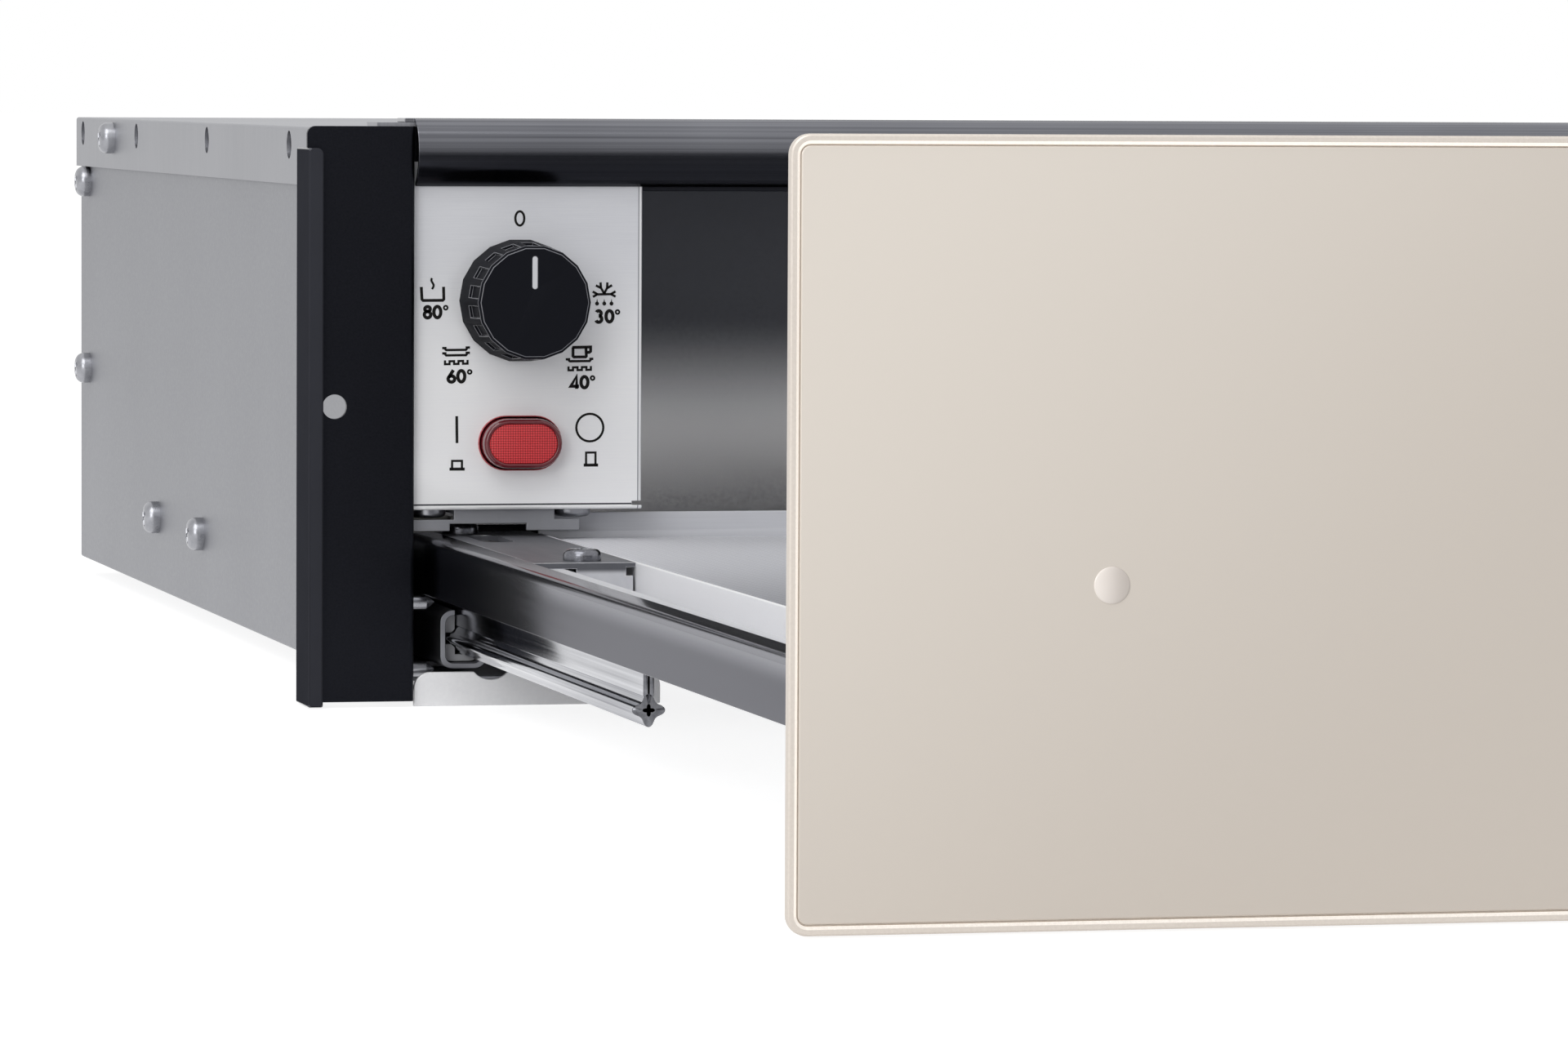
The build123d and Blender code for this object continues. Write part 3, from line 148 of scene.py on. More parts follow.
bpy.context.scene.collection.objects.link(floor)

# ---------------------------------------------------------------------------------------------------
# Side panels. Bent from galvanised steel sheet about 1 mm thick, left bare: an even light grey with a
# very fine spangle. Pan-head screws hold them to the rear panel and to the slides inside.
mm = 0.001
origin_height = 71.8            # mm from the niche floor to the model's origin
sharp_angle = 32                # degrees; edges above it stay crisp and are rounded by a bevel
coplanar_angle = 0.6            # degrees; packed triangles that meet below it are one flat face
body_of = {name: body for body, names in frame["record"]["behaviour"]["bodies"].items() for name in names}


def up(height):
    """A height above the niche floor, in mm, as Z of the model in mm."""
    return height - origin_height


def begin(name):
    """A new material with an empty node tree; returns the tree and its Object coordinates."""
    made = bpy.data.materials.new(name)
    made.use_nodes = True
    made.node_tree.nodes.clear()
    return made.node_tree, node(made.node_tree, "ShaderNodeTexCoord").outputs["Object"]


def surface(tree, **sockets):
    """Closes a material with one Principled surface; underscores in the names stand for spaces."""
    named = {name.replace("_", " "): value for name, value in sockets.items()}
    shader = node(tree, "ShaderNodeBsdfPrincipled", inputs=named)
    node(tree, "ShaderNodeOutputMaterial", inputs={"Surface": shader.outputs[0]})


def rolled_sheet(name, dark, light, streak, roughness=(0.3, 0.42), lift=0.004, fade=None, within=None,
                 metal=1.0, bands=(), **sockets):
    """Rolled or brushed metal: fine streaks of the given size in mm along X, Y, Z, drawn as stretched
    noise that shifts the colour between dark and light, the roughness and the surface by lift mm.
    fade = (axis, from mm, to mm, dark, light) turns to a second pair of colours along an axis, only
    where the part lies below within = (axis, mm); on most parts it paints light and shade. metal is less
    than 1 on a surface with a dull film. bands = ((axis, from mm, to mm, colour), ...) are narrow stripes;
    along folded edges they are painted highlight and shade. sockets are further values of the surface."""
    tree, place = begin(name)
    stretched = node(tree, "ShaderNodeMapping",
                     inputs={"Vector": place, "Scale": tuple(1 / (s * mm) for s in streak)})
    grain = node(tree, "ShaderNodeTexNoise",
                 inputs={"Vector": stretched.outputs[0], "Scale": 1.0, "Detail": 3.0, "Roughness": 0.6})
    cloud = node(tree, "ShaderNodeTexNoise",
                 inputs={"Vector": place, "Scale": 14.0, "Detail": 2.0, "Roughness": 0.5})
    blend = node(tree, "ShaderNodeMix", {"data_type": "FLOAT"},
                 {0: 0.3, 2: grain.outputs[0], 3: cloud.outputs[0]})
    spread = node(tree, "ShaderNodeMapRange",
                  inputs={"Value": blend.outputs[0], "From Min": 0.3, "From Max": 0.7})
    colour = node(tree, "ShaderNodeMix", {"data_type": "RGBA"},
                  {0: spread.outputs[0], 6: linear(dark), 7: linear(light)}).outputs[2]
    if fade:
        axis, start, stop, far_dark, far_light = fade
        along = node(tree, "ShaderNodeSeparateXYZ", inputs={0: place}).outputs[axis]
        share = node(tree, "ShaderNodeMapRange", {"interpolation_type": "SMOOTHSTEP"},
                     {"Value": along, "From Min": start * mm, "From Max": stop * mm}).outputs[0]
        if within:
            side = node(tree, "ShaderNodeSeparateXYZ", inputs={0: place}).outputs[within[0]]
            near = node(tree, "ShaderNodeMath", {"operation": "LESS_THAN"}, {0: side, 1: within[1] * mm})
            share = node(tree, "ShaderNodeMath", {"operation": "MULTIPLY"},
                         {0: share, 1: near.outputs[0]}).outputs[0]
        other = node(tree, "ShaderNodeMix", {"data_type": "RGBA"},
                     {0: spread.outputs[0], 6: linear(far_dark), 7: linear(far_light)}).outputs[2]
        colour = node(tree, "ShaderNodeMix", {"data_type": "RGBA"}, {0: share, 6: colour, 7: other}).outputs[2]
    for axis, start, stop, stripe in bands:
        along = node(tree, "ShaderNodeSeparateXYZ", inputs={0: place}).outputs[axis]
        inside = node(tree, "ShaderNodeMath", {"operation": "COMPARE"},
                      {0: along, 1: (start + stop) / 2 * mm, 2: (stop - start) / 2 * mm}).outputs[0]
        colour = node(tree, "ShaderNodeMix", {"data_type": "RGBA"},
                      {0: inside, 6: colour, 7: linear(stripe)}).outputs[2]
    rough = node(tree, "ShaderNodeMapRange",
                 inputs={"Value": grain.outputs[0], "From Min": 0.3, "From Max": 0.7,
                         "To Min": roughness[0], "To Max": roughness[1]})
    relief = node(tree, "ShaderNodeBump",
                  inputs={"Strength": 0.5, "Distance": lift * mm, "Height": grain.outputs[0]})
    surface(tree, Base_Color=colour, Metallic=metal, Roughness=rough.outputs[0], Normal=relief.outputs[0],
            **sockets)
    return bpy.data.materials[name]


def smoothed(mesh, angle=sharp_angle):
    """Soft shading over curves, with edges sharper than the angle kept crisp."""
    mesh.shade_smooth()
    mesh.set_sharp_from_angle(angle=math.radians(angle))


def pressed(source, finish, edge=0.3, rim=None):
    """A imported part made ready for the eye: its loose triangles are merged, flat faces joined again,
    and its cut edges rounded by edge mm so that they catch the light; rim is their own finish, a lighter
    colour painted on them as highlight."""
    mesh = frame["nodes"][source].data.copy()
    work = bmesh.new()
    work.from_mesh(mesh)
    bmesh.ops.remove_doubles(work, verts=work.verts, dist=2e-6)
    bmesh.ops.dissolve_limit(work, angle_limit=math.radians(coplanar_angle), verts=work.verts,
                            edges=work.edges)
    work.to_mesh(mesh)
    work.free()
    mesh.materials.clear()
    mesh.materials.append(finish)
    smoothed(mesh)
    made = bpy.data.objects.new(source + "_shown", mesh)
    bpy.context.scene.collection.objects.link(made)
    rounding = made.modifiers.new("cut_edges", "BEVEL")
    rounding.width = edge * mm
    rounding.segments = 2
    rounding.limit_method = "ANGLE"
    rounding.angle_limit = math.radians(sharp_angle)
    rounding.use_clamp_overlap = True
    rounding.harden_normals = True
    if rim:
        mesh.materials.append(rim)
        rounding.material = 1
    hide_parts(source)
    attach(made, body_of[source])
    return made


# Galvanised sheet: even mid grey, a faint mottle of zinc crystals, low soft gloss.
galvanised = rolled_sheet("galvanised_steel_sheet", "#86878c", "#909196", (0.9, 0.9, 0.9), (0.4, 0.52), 0.002)
for source in ("side_panel_left", "side_panel_right"):
    pressed(source, galvanised, 0.25)

# ---------------------------------------------------------------------------------------------------
# Lid. One steel sheet, brushed upright on its skirts, laid over the side panels and held by screws
# through the skirt.
lid_steel = rolled_sheet("brushed_lid_steel", "#88898e", "#9b9ca1", (0.5, 0.5, 18.0), (0.34, 0.46), 0.003)
pressed("top_lid", lid_steel, 0.3)

# ---------------------------------------------------------------------------------------------------
# Rear and bottom panels, rear feet. Galvanised sheet as the sides, folded to a shallow tray each. The
# rear panel's inner face is seen through the opening: its colour is painted dark under the ceiling as
# shade and light towards the tray as painted reflection.
rear_steel_painted_shade = rolled_sheet("galvanised_rear_steel_painted_shade", "#f6f6f8", "#fdfdfe", (0.9, 0.9, 0.9), (0.18, 0.26), 0.001,
                          (2, up(38.0), up(78.0), "#55565b", "#5d5e63"), (1, 509.6), 0.85,
                          ((1, 509.6, 530.0, "#8a8b90"),))
pressed("rear_panel", rear_steel_painted_shade, 0.25)
for source in ("bottom_panel", "rear_feet"):
    pressed(source, galvanised, 0.25)

# ---------------------------------------------------------------------------------------------------
# Mounting flanges. Black coated steel angles at both sides of the opening, each with a screw hole at
# mid height. The coating is satin and nearly black; their rounded edges are painted a lighter grey as
# highlight.
coated = rolled_sheet("black_coated_steel", "#1a1b20", "#232429", (0.5, 0.5, 0.5), (0.36, 0.48), 0.002)
# Rounded edges of the flanges: a lighter grey painted on as highlight.
flange_rim_painted_highlight = rolled_sheet("coated_edge_painted_highlight", "#55565c", "#6a6b71", (2.0, 2.0, 2.0), (0.25, 0.35), 0.001)
for source in ("mounting_flange_left", "mounting_flange_right"):
    pressed(source, coated, 0.25, flange_rim_painted_highlight)

# ---------------------------------------------------------------------------------------------------
# Edge trims. Moulded black strips that clip over the outer edge of the flanges and cover the cut edge
# of the niche. Smooth plastic with a bright line along their rounding, of gloss and of a lighter grey
# painted there as highlight.
pebble_size = 0.35              # mm


def moulded(name, colour, roughness, pebble=0.0, gloss=0.5):
    """Moulded plastic: one colour with a slight unevenness, and a fine pebble of the tool's surface,
    pebble mm high."""
    tree, place = begin(name)
    uneven = node(tree, "ShaderNodeTexNoise", inputs={"Vector": place, "Scale": 60.0, "Detail": 2.0})
    deep = tuple(0.82 * c for c in linear(colour)[:3]) + (1.0,)
    tint = node(tree, "ShaderNodeMix", {"data_type": "RGBA"},
                {0: uneven.outputs[0], 6: deep, 7: linear(colour)})
    rough = node(tree, "ShaderNodeMapRange",
                 inputs={"Value": uneven.outputs[0], "To Min": roughness - 0.05, "To Max": roughness + 0.05})
    skin = node(tree, "ShaderNodeTexNoise", inputs={"Vector": place, "Scale": 1 / (pebble_size * mm), "Detail": 1.0})
    relief = node(tree, "ShaderNodeBump",
                  inputs={"Strength": 0.6, "Distance": pebble * mm, "Height": skin.outputs[0]})
    surface(tree, Base_Color=tint.outputs[2], Roughness=rough.outputs[0], Specular_IOR_Level=gloss,
            Normal=relief.outputs[0])
    return bpy.data.materials[name]


trim_plastic = moulded("black_trim_plastic", "#3a3b41", 0.5, 0.002, gloss=0.0)
# Rounding of the trims: a lighter grey painted on as highlight.
trim_rim_painted_highlight = moulded("glossy_trim_edge_painted_highlight", "#5d5e65", 0.2, 0.0, gloss=0.3)
for source in ("edge_trim_left", "edge_trim_right"):
    pressed(source, trim_plastic, 0.35, trim_rim_painted_highlight)

# ---------------------------------------------------------------------------------------------------
# Top rail. A bright rolled steel lip across the head of the opening, bulging forward over the flanges.
# Its colour is painted as the room's reflection in the polish: long level streaks, light above and dark
# below.
polished_rail_painted_reflection = rolled_sheet("polished_rail_steel_painted_reflection", "#5c5d63", "#8d8e94", (400.0, 0.9, 0.6), (0.14, 0.24), 0.002,
                             (2, up(139.0), up(128.5), "#222328", "#36373c"))
pressed("top_rail", polished_rail_painted_reflection, 0.2)

# ---------------------------------------------------------------------------------------------------
# Feet under the front corners. Light folded steel tabs with rounded corners and a notch.
foot_steel = rolled_sheet("zinc_foot_steel", "#f3f3f5", "#fafafb", (0.8, 0.8, 0.8), (0.4, 0.5), 0.001, metal=0.25)
for source in ("foot_bracket_left", "foot_bracket_right"):
    pressed(source, foot_steel, 0.25)

# ---------------------------------------------------------------------------------------------------
# Ceiling liner and heat shield. The liner closes the warm space above; the shield lies under the
# heater. Plain rolled steel; the liner's front edge is dark.
liner_steel = rolled_sheet("rolled_liner_steel", "#8e8f94", "#a0a1a6", (0.6, 14.0, 0.6), (0.3, 0.42), 0.003,
                           (1, 14.0, 8.0, "#222327", "#2a2b30"))
pressed("ceiling_liner", liner_steel, 0.25)
shield_steel = rolled_sheet("heat_shield_steel", "#a9aab0", "#bcbdc3", (0.6, 12.0, 0.6), (0.25, 0.4), 0.003)
pressed("heat_shield", shield_steel, 0.25)


# ---------------------------------------------------------------------------------------------------
# Housing screws. Zinc plated pan-head screws with a cross recess, 9 mm across, through the side
# panels, the lid's skirts and the rear panel.
def grid(points, ring=False, loop=False, first=False, last=False):
    """Vertices and quads of a surface given as rows of points. ring closes each row on itself, loop
    closes the last row on the first, and first and last put a flat face on the end rows."""
    rows, columns = points.shape[:2]
    index = np.arange(rows * columns).reshape(rows, columns)
    wide = np.hstack([index, index[:, :1]]) if ring else index
    tall = np.vstack([wide, wide[:1]]) if loop else wide
    quads = np.stack([tall[:-1, :-1], tall[:-1, 1:], tall[1:, 1:], tall[1:, :-1]], -1).reshape(-1, 4)
    faces = quads.tolist()
    if first:
        faces.append(index[0][::-1].tolist())
    if last:
        faces.append(index[-1].tolist())
    return points.reshape(-1, 3), faces


def build(name, parts, finish, body, stands_for=(), angle=sharp_angle):
    """One piece from grid parts given in mm: doubles are merged, faces turned outward, edges kept."""
    points, faces, count = [], [], 0
    for some, theirs in parts:
        points.append(some)
        faces += [[i + count for i in face] for face in theirs]
        count += len(some)
    mesh = bpy.data.meshes.new(name)
    mesh.from_pydata((np.vstack(points) * mm).tolist(), [], faces)
    work = bmesh.new()
    work.from_mesh(mesh)
    bmesh.ops.remove_doubles(work, verts=work.verts, dist=1e-6)
    bmesh.ops.recalc_face_normals(work, faces=work.faces)
    work.to_mesh(mesh)
    work.free()
    mesh.materials.append(finish)
    smoothed(mesh, angle)
    made = bpy.data.objects.new(name, mesh)
    bpy.context.scene.collection.objects.link(made)
    for source in stands_for:
        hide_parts(source)
    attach(made, body)
    return made


def turned(radius, height, centre, axis, around=48):
    """A turned shape: radius and height along the profile, carried round the axis from its foot."""
    axis = np.array(axis, float)
    side = np.cross(axis, (0.3, 0.5, 0.8))
    side /= np.linalg.norm(side)
    across = np.cross(axis, side)
    angle = np.linspace(0, 2 * np.pi, around, endpoint=False)
    circle = np.cos(angle)[:, None] * side + np.sin(angle)[:, None] * across
    return (np.array(centre, float) + np.array(height, float)[:, None, None] * axis
            + np.array(radius, float)[:, None, None] * circle[None])


def pan_screw(x, y, height, axis, head, tall, length, point=0.0):
    """A pan-head screw: the head is upright for 0.45 of its height, then a quarter round, then nearly
    flat; within the cross, whose arms are 1 mm wide and half the head long, the surface sinks by half
    the head's height. The shank hangs behind, and ends in a point of the given length."""
    around, flat_rings = 72, 25
    shoulder, round_part = tall * 0.45, tall * 0.55
    arc = np.linspace(0, np.pi / 2, 8)
    ring_r = np.concatenate([head / 2 - round_part * (1 - np.cos(arc)),
                             np.linspace(head / 2 - round_part, 0, flat_rings + 1)[1:]])
    ring_h = np.concatenate([shoulder + round_part * np.sin(arc), np.full(flat_rings, tall)])
    ring_h += 0.06 * tall * np.clip(1 - (ring_r / (head / 2)) ** 2, 0, 1)
    centre = np.array((x, y, up(height)), float)
    cap = turned(ring_r, ring_h, centre, axis, around)
    angle = np.linspace(0, 2 * np.pi, around, endpoint=False)
    flat_x, flat_y = ring_r[:, None] * np.cos(angle), ring_r[:, None] * np.sin(angle)
    reach = head * 0.27

    def arm(a, b):
        """1 inside an arm of the cross along a, falling to 0 over its slanted walls."""
        return np.clip((0.62 - np.abs(b)) / 0.22, 0, 1) * np.clip((reach - np.abs(a)) / 0.5, 0, 1)

    sunk = np.maximum(arm(flat_x, flat_y), arm(flat_y, flat_x)) * tall * 0.5
    cap = cap - sunk[..., None] * np.array(axis, float)
    skirt = turned([head / 2, head / 2], [0.0, shoulder], centre, axis, around)
    shank = 1.75
    tip = turned([shank, shank, 0.3 if point else shank], [0.0, -(length - point), -length], centre, axis, 24)
    return [grid(np.vstack([skirt, cap[1:]]), ring=True, first=True),
            grid(tip, ring=True, first=True, last=True)]


# Zinc plate: bright grey with a slight cloudiness, soft gloss with sharp glints on the edges.
zinc_tree, zinc_place = begin("zinc_plated_screw")
zinc_cloud = node(zinc_tree, "ShaderNodeTexNoise", inputs={"Vector": zinc_place, "Scale": 350.0, "Detail": 2.0})
zinc_tint = node(zinc_tree, "ShaderNodeMix", {"data_type": "RGBA"},
                 {0: zinc_cloud.outputs[0], 6: linear("#808186"), 7: linear("#b4b5ba")})
zinc_rough = node(zinc_tree, "ShaderNodeMapRange",
                  inputs={"Value": zinc_cloud.outputs[0], "To Min": 0.22, "To Max": 0.36})
surface(zinc_tree, Base_Color=zinc_tint.outputs[2], Metallic=1.0, Roughness=zinc_rough.outputs[0])
zinc = bpy.data.materials["zinc_plated_screw"]

housing_screw = (9.0, 4.0, 6.0)     # head, height of the head and shank, mm
housing_parts = []
for side in (-1, 1):
    for y, height in ((492.5, 118.5), (492.5, 62.7), (353.0, 25.65), (272.0, 25.65)):
        housing_parts += pan_screw(side * 280.5, y, height, (side, 0, 0), *housing_screw)
    housing_parts += pan_screw(side * 281.8, 434.0, 131.9, (side, 0, 0), *housing_screw)
    housing_parts += pan_screw(side * 200.0, 511.3, 130.0, (0, 1, 0), *housing_screw)
build("housing_screw_heads", housing_parts, zinc, "housing", ["housing_screws"])

# ---------------------------------------------------------------------------------------------------
# Telescopic slides. The rails fixed in the housing are galvanised and rough at their cut ends; the
# moving rails are rolled bright. Light plastic cages keep the balls between them.
for source in ("cabinet_rail_left", "cabinet_rail_right", "slide_bracket_left", "slide_bracket_right"):
    pressed(source, galvanised, 0.2)
# Rolled rail steel: glossy, with light and dark lines drawn out along its length.
rail_steel = rolled_sheet("rolled_slide_steel", "#94959a", "#dadbdf", (1.6, 260.0, 1.6), (0.1, 0.2), 0.003,
                          (1, -203.55, -203.9, "#5c5d62", "#909196"))
drawn_steel = rolled_sheet("satin_drawn_steel", "#cfd0d4", "#e0e1e5", (1.6, 120.0, 1.6), (0.42, 0.52), 0.001,
                           metal=0.35)
for source in ("drawer_rail_left", "drawer_rail_right"):
    pressed(source, drawn_steel, 0.2)


def rounded_rectangle(half_x, half_z, radius, steps=9):
    """Outline of a rectangle with quarter-round corners, counter-clockwise from the right side."""
    angle = np.linspace(0, np.pi / 2, steps)
    corners = []
    for turn, (sx, sz) in enumerate(((1, 1), (-1, 1), (-1, -1), (1, -1))):
        a = angle + turn * np.pi / 2
        corners.append(np.stack([sx * (half_x - radius) + radius * np.cos(a),
                                 sz * (half_z - radius) + radius * np.sin(a)], 1))
    return np.vstack(corners)


def star(radius, dent, power, count=96):
    """Polar outline with four arms: the radius falls from its full value on the arms by dent between
    them, as the given power of the cosine of twice the angle."""
    angle = np.linspace(0, 2 * np.pi, count, endpoint=False)
    reach = radius - dent * (1 - np.abs(np.cos(2 * angle)) ** power)
    return np.stack([reach * np.cos(angle), reach * np.sin(angle)], 1)


def drawn_bar(outline, x, z):
    """An outline carried along the middle rail from front to back, its end edges cut off at 45 degrees."""
    front, back, cut = -204.0, 236.0, 0.15
    inner = outline * (1 - cut / np.abs(outline).max())
    rows = [np.stack([o[:, 0] + x, np.full(len(o), y), o[:, 1] + z], 1)
            for o, y in ((inner, front), (outline, front + cut), (outline, back - cut), (inner, back))]
    return np.array(rows)


# The middle rail is one sheet folded double: a star-shaped tube below and above, joined by two leaves.
slide_x = 258.0
leaf_outline = rounded_rectangle(0.5, 5.3, 0.3, 4)
for side, s in (("left", -1), ("right", 1)):
    rail_parts = []
    for height in (15.5, 31.9):
        skin = drawn_bar(star(3.62, 1.3, 2.6), s * slide_x, up(height))
        bore = drawn_bar(star(1.5, 0.8, 1.6), s * slide_x, up(height))[[3, 0]]
        rail_parts.append(grid(np.concatenate([skin, bore]), ring=True, loop=True))
    for leaf in (-0.68, 0.68):
        rail_parts.append(grid(drawn_bar(leaf_outline, s * slide_x + leaf, up(23.7)), ring=True, first=True,
                               last=True))
    build(f"middle_rail_folded_{side}", rail_parts, rail_steel, f"middle_rail_{side}",
          [f"middle_rail_{side}"], 50)
cage_plastic = moulded("grey_cage_plastic", "#b9babd", 0.5, 0.003)
for source in ("ball_cage_lower_left", "ball_cage_lower_right", "ball_cage_upper_left", "ball_cage_upper_right"):
    pressed(source, cage_plastic, 0.15)

# ---------------------------------------------------------------------------------------------------
# Tray. One deep-drawn pan of brushed stainless steel with a turned-up rear edge; its foot rests on the
# drawer rails. Light satin with a fine grain across, painted a little greyer at the rear as shade
# under the housing.
# Painted shade: greyer towards the rear under the housing.
tray_steel_painted_shade = rolled_sheet("brushed_tray_steel_painted_shade", "#f6f6f9", "#fdfdfe", (24.0, 0.5, 0.5), (0.46, 0.58), 0.002,
                          (1, -120.0, -24.0, "#c2c3c8", "#cacbd0"), metal=0.2)
pressed("tray", tray_steel_painted_shade, 0.3)

# ---------------------------------------------------------------------------------------------------
# Anti-slip mat. Grey silicone laid in the tray, its face moulded with a net of small diamonds whose
# grooves are painted darker as shade; paler at the rear as a painted sheen.
mat_tree, mat_place = begin("ribbed_silicone_mat")
mat_turn = node(mat_tree, "ShaderNodeMapping",
                inputs={"Vector": mat_place, "Rotation": (0, 0, math.radians(45)), "Scale": (1 / (2.2 * mm),) * 3})
mat_cells = node(mat_tree, "ShaderNodeTexVoronoi", {"feature": "F1", "distance": "CHEBYCHEV"},
                 {"Vector": mat_turn.outputs[0], "Scale": 1.0, "Randomness": 0.0})
mat_shade = node(mat_tree, "ShaderNodeMapRange",
                 inputs={"Value": mat_cells.outputs["Distance"], "From Min": 0.2, "From Max": 0.5})
mat_axes = node(mat_tree, "ShaderNodeSeparateXYZ", inputs={0: mat_place})
# Painted sheen: paler towards the rear.
mat_rear_sheen_share = node(mat_tree, "ShaderNodeMapRange", {"interpolation_type": "SMOOTHSTEP"},
                {"Value": mat_axes.outputs[1], "From Min": -0.02, "From Max": -0.26})
mat_raised = node(mat_tree, "ShaderNodeMix", {"data_type": "RGBA"},
                  {0: mat_rear_sheen_share.outputs[0], 6: linear("#f4f5fa"), 7: linear("#a3a4aa")})
# Painted shade in the grooves between the diamonds.
mat_groove_painted_shade = node(mat_tree, "ShaderNodeMix", {"data_type": "RGBA"},
                {0: mat_rear_sheen_share.outputs[0], 6: linear("#c4c5cb"), 7: linear("#76777d")})
mat_tint = node(mat_tree, "ShaderNodeMix", {"data_type": "RGBA"},
                {0: mat_shade.outputs[0], 6: mat_raised.outputs[2], 7: mat_groove_painted_shade.outputs[2]})
mat_relief = node(mat_tree, "ShaderNodeBump", {"invert": True},
                  {"Strength": 0.9, "Distance": 0.25 * mm, "Height": mat_shade.outputs[0]})
surface(mat_tree, Base_Color=mat_tint.outputs[2], Roughness=0.62, Normal=mat_relief.outputs[0])
pressed("tray_mat", bpy.data.materials["ribbed_silicone_mat"], 0.4)

# ---------------------------------------------------------------------------------------------------
# Side rails of the drawer. Rolled steel profiles between the front and the rear covers, with a rounded
# top edge painted light as one long highlight above a wall painted darker downward as shade.
side_rail_painted_highlight_and_shade = rolled_sheet("rolled_side_rail_steel_painted_highlight_and_shade", "#aeafb3", "#b6b7bb", (6.0, 200.0, 6.0), (0.1, 0.15),
                               0.0005, (2, up(39.8), up(34.0), "#5d5e63", "#65666b"),
                               Specular_Tint=(0.5, 0.5, 0.52, 1), Coat_Weight=0.15, Coat_Roughness=0.3)
for source in ("side_rail_left", "side_rail_right"):
    pressed(source, side_rail_painted_highlight_and_shade, 0.2)

# ---------------------------------------------------------------------------------------------------
# Rear covers. Steel plates over the drawer rails behind the tray, with a slot and a bent flap at
# the front; their top is painted dark as shade under the housing and the flap painted light; one dark
# pan-head screw at each end holds them.
cover_steel_painted_shade = rolled_sheet("brushed_cover_steel_painted_shade", "#56575c", "#5e5f64", (6.0, 40.0, 6.0), (0.36, 0.44), 0.0005,
                           (2, up(38.9), up(37.6), "#b3b4b9", "#c6c7cb"), metal=0.0, Specular_IOR_Level=0.08)
# Bright metal on the rounded cut edges, its lightness painted as highlight.
bright_cut_highlight = rolled_sheet("bright_cut_edge_painted_highlight", "#d4d5d9", "#e9eaed", (2.0, 2.0, 2.0), (0.2, 0.3), 0.001)
for source in ("rear_cover_left", "rear_cover_right"):
    pressed(source, cover_steel_painted_shade, 0.3, bright_cut_highlight)
# Blackened screw: dark metal with clear glints.
black_screw = rolled_sheet("blackened_screw_steel", "#5c5d63", "#7c7d83", (0.8, 0.8, 0.8), (0.14, 0.3), 0.002)
cover_parts = []
for side in (-1, 1):
    for x, y in ((248.8, -88.0), (256.5, 21.0)):
        cover_parts += pan_screw(side * x, y, 40.3, (0, 0, 1), 8.7, 2.6, 4.0)
build("cover_screw_heads", cover_parts, black_screw, "drawer", ["cover_screws"])

# ---------------------------------------------------------------------------------------------------
# Drawer front. An anodised aluminium frame, mitred at the corners, holds a coloured glass pane nearly
# flush; behind it a steel carrier plate takes the rails. The frame's inner arris is cut bright.
def swept_front(profile):
    """A profile of (inset, y) points carried round the outline of the front, one closed row a point."""
    half_x, half_z, corner, middle_z = 297.5, 70.0, 3.7, up(70.5)
    rows = []
    for inset, y in profile:
        outline = rounded_rectangle(half_x - inset, half_z - inset, max(corner - inset, 0.3))
        rows.append(np.stack([outline[:, 0], np.full(len(outline), y), outline[:, 1] + middle_z], 1))
    return np.array(rows)


frame_profile = ((5.6, -484.0), (0.12, -501.6), (0, -502.0), (0, -503.3), (0.12, -503.75), (0.4, -504.0),
                 (1.18, -504.0), (1.2, -503.5), (1.86, -503.3), (2.0, -503.2), (2.0, -499.6), (10.0, -499.6),
                 (10.0, -498.4), (3.2, -498.4), (7.6, -485.2), (7.6, -484.0))
# Satin anodised aluminium, pale champagne, with a fine even grain.
anodised = rolled_sheet("anodised_champagne_aluminium", "#d2c9c0", "#ddd5cc", (0.6, 0.6, 0.6), (0.44, 0.54), 0.001,
                        metal=0.5)
build("front_frame_bars", [grid(swept_front(frame_profile), ring=True, loop=True)],
      anodised, "drawer", ["front_frame"])
# The inner arris of the frame is cut with a diamond tool after anodising and shines as one bright line.
arris_profile = ((1.18, -504.0), (1.76, -503.55), (1.86, -503.35), (1.86, -503.2), (1.18, -503.2))
arris = rolled_sheet("diamond_cut_aluminium", "#f6ede3", "#fff8ef", (0.6, 0.6, 0.6), (0.2, 0.26), 0.001)
build("front_frame_arris", [grid(swept_front(arris_profile), ring=True, loop=True)],
      arris, "drawer", angle=20)

# Back-painted glass: a creamy colour under a clear polished surface, painted lighter at the top left as light.
glass_tree, glass_place = begin("back_painted_glass")
glass_axes = node(glass_tree, "ShaderNodeSeparateXYZ", inputs={0: glass_place})
glass_sum = node(glass_tree, "ShaderNodeMath", {"operation": "MULTIPLY_ADD"},
                 {0: glass_axes.outputs[2], 1: -1.2, 2: glass_axes.outputs[0]})
glass_painted_light_share = node(glass_tree, "ShaderNodeMapRange", {"interpolation_type": "SMOOTHSTEP"},
                   {"Value": glass_sum.outputs[0], "From Min": -0.39, "From Max": -0.12})
glass_cloud = node(glass_tree, "ShaderNodeTexNoise", inputs={"Vector": glass_place, "Scale": 9.0, "Detail": 1.0})
glass_tint = node(glass_tree, "ShaderNodeMix", {"data_type": "RGBA"},
                  {0: glass_painted_light_share.outputs[0], 6: linear("#e6ded4"), 7: linear("#cec5bb")})
glass_rough = node(glass_tree, "ShaderNodeMapRange",
                   inputs={"Value": glass_cloud.outputs[0], "To Min": 0.05, "To Max": 0.09})
surface(glass_tree, Base_Color=glass_tint.outputs[2], Roughness=glass_rough.outputs[0], IOR=1.5)
pane_profile = ((2.02, -499.6), (2.02, -503.3), (2.06, -503.45), (2.28, -503.6), (8.0, -503.6))
build("front_glass_pane", [grid(swept_front(pane_profile), ring=True, first=True, last=True)],
      bpy.data.materials["back_painted_glass"], "drawer", ["front_glass"])
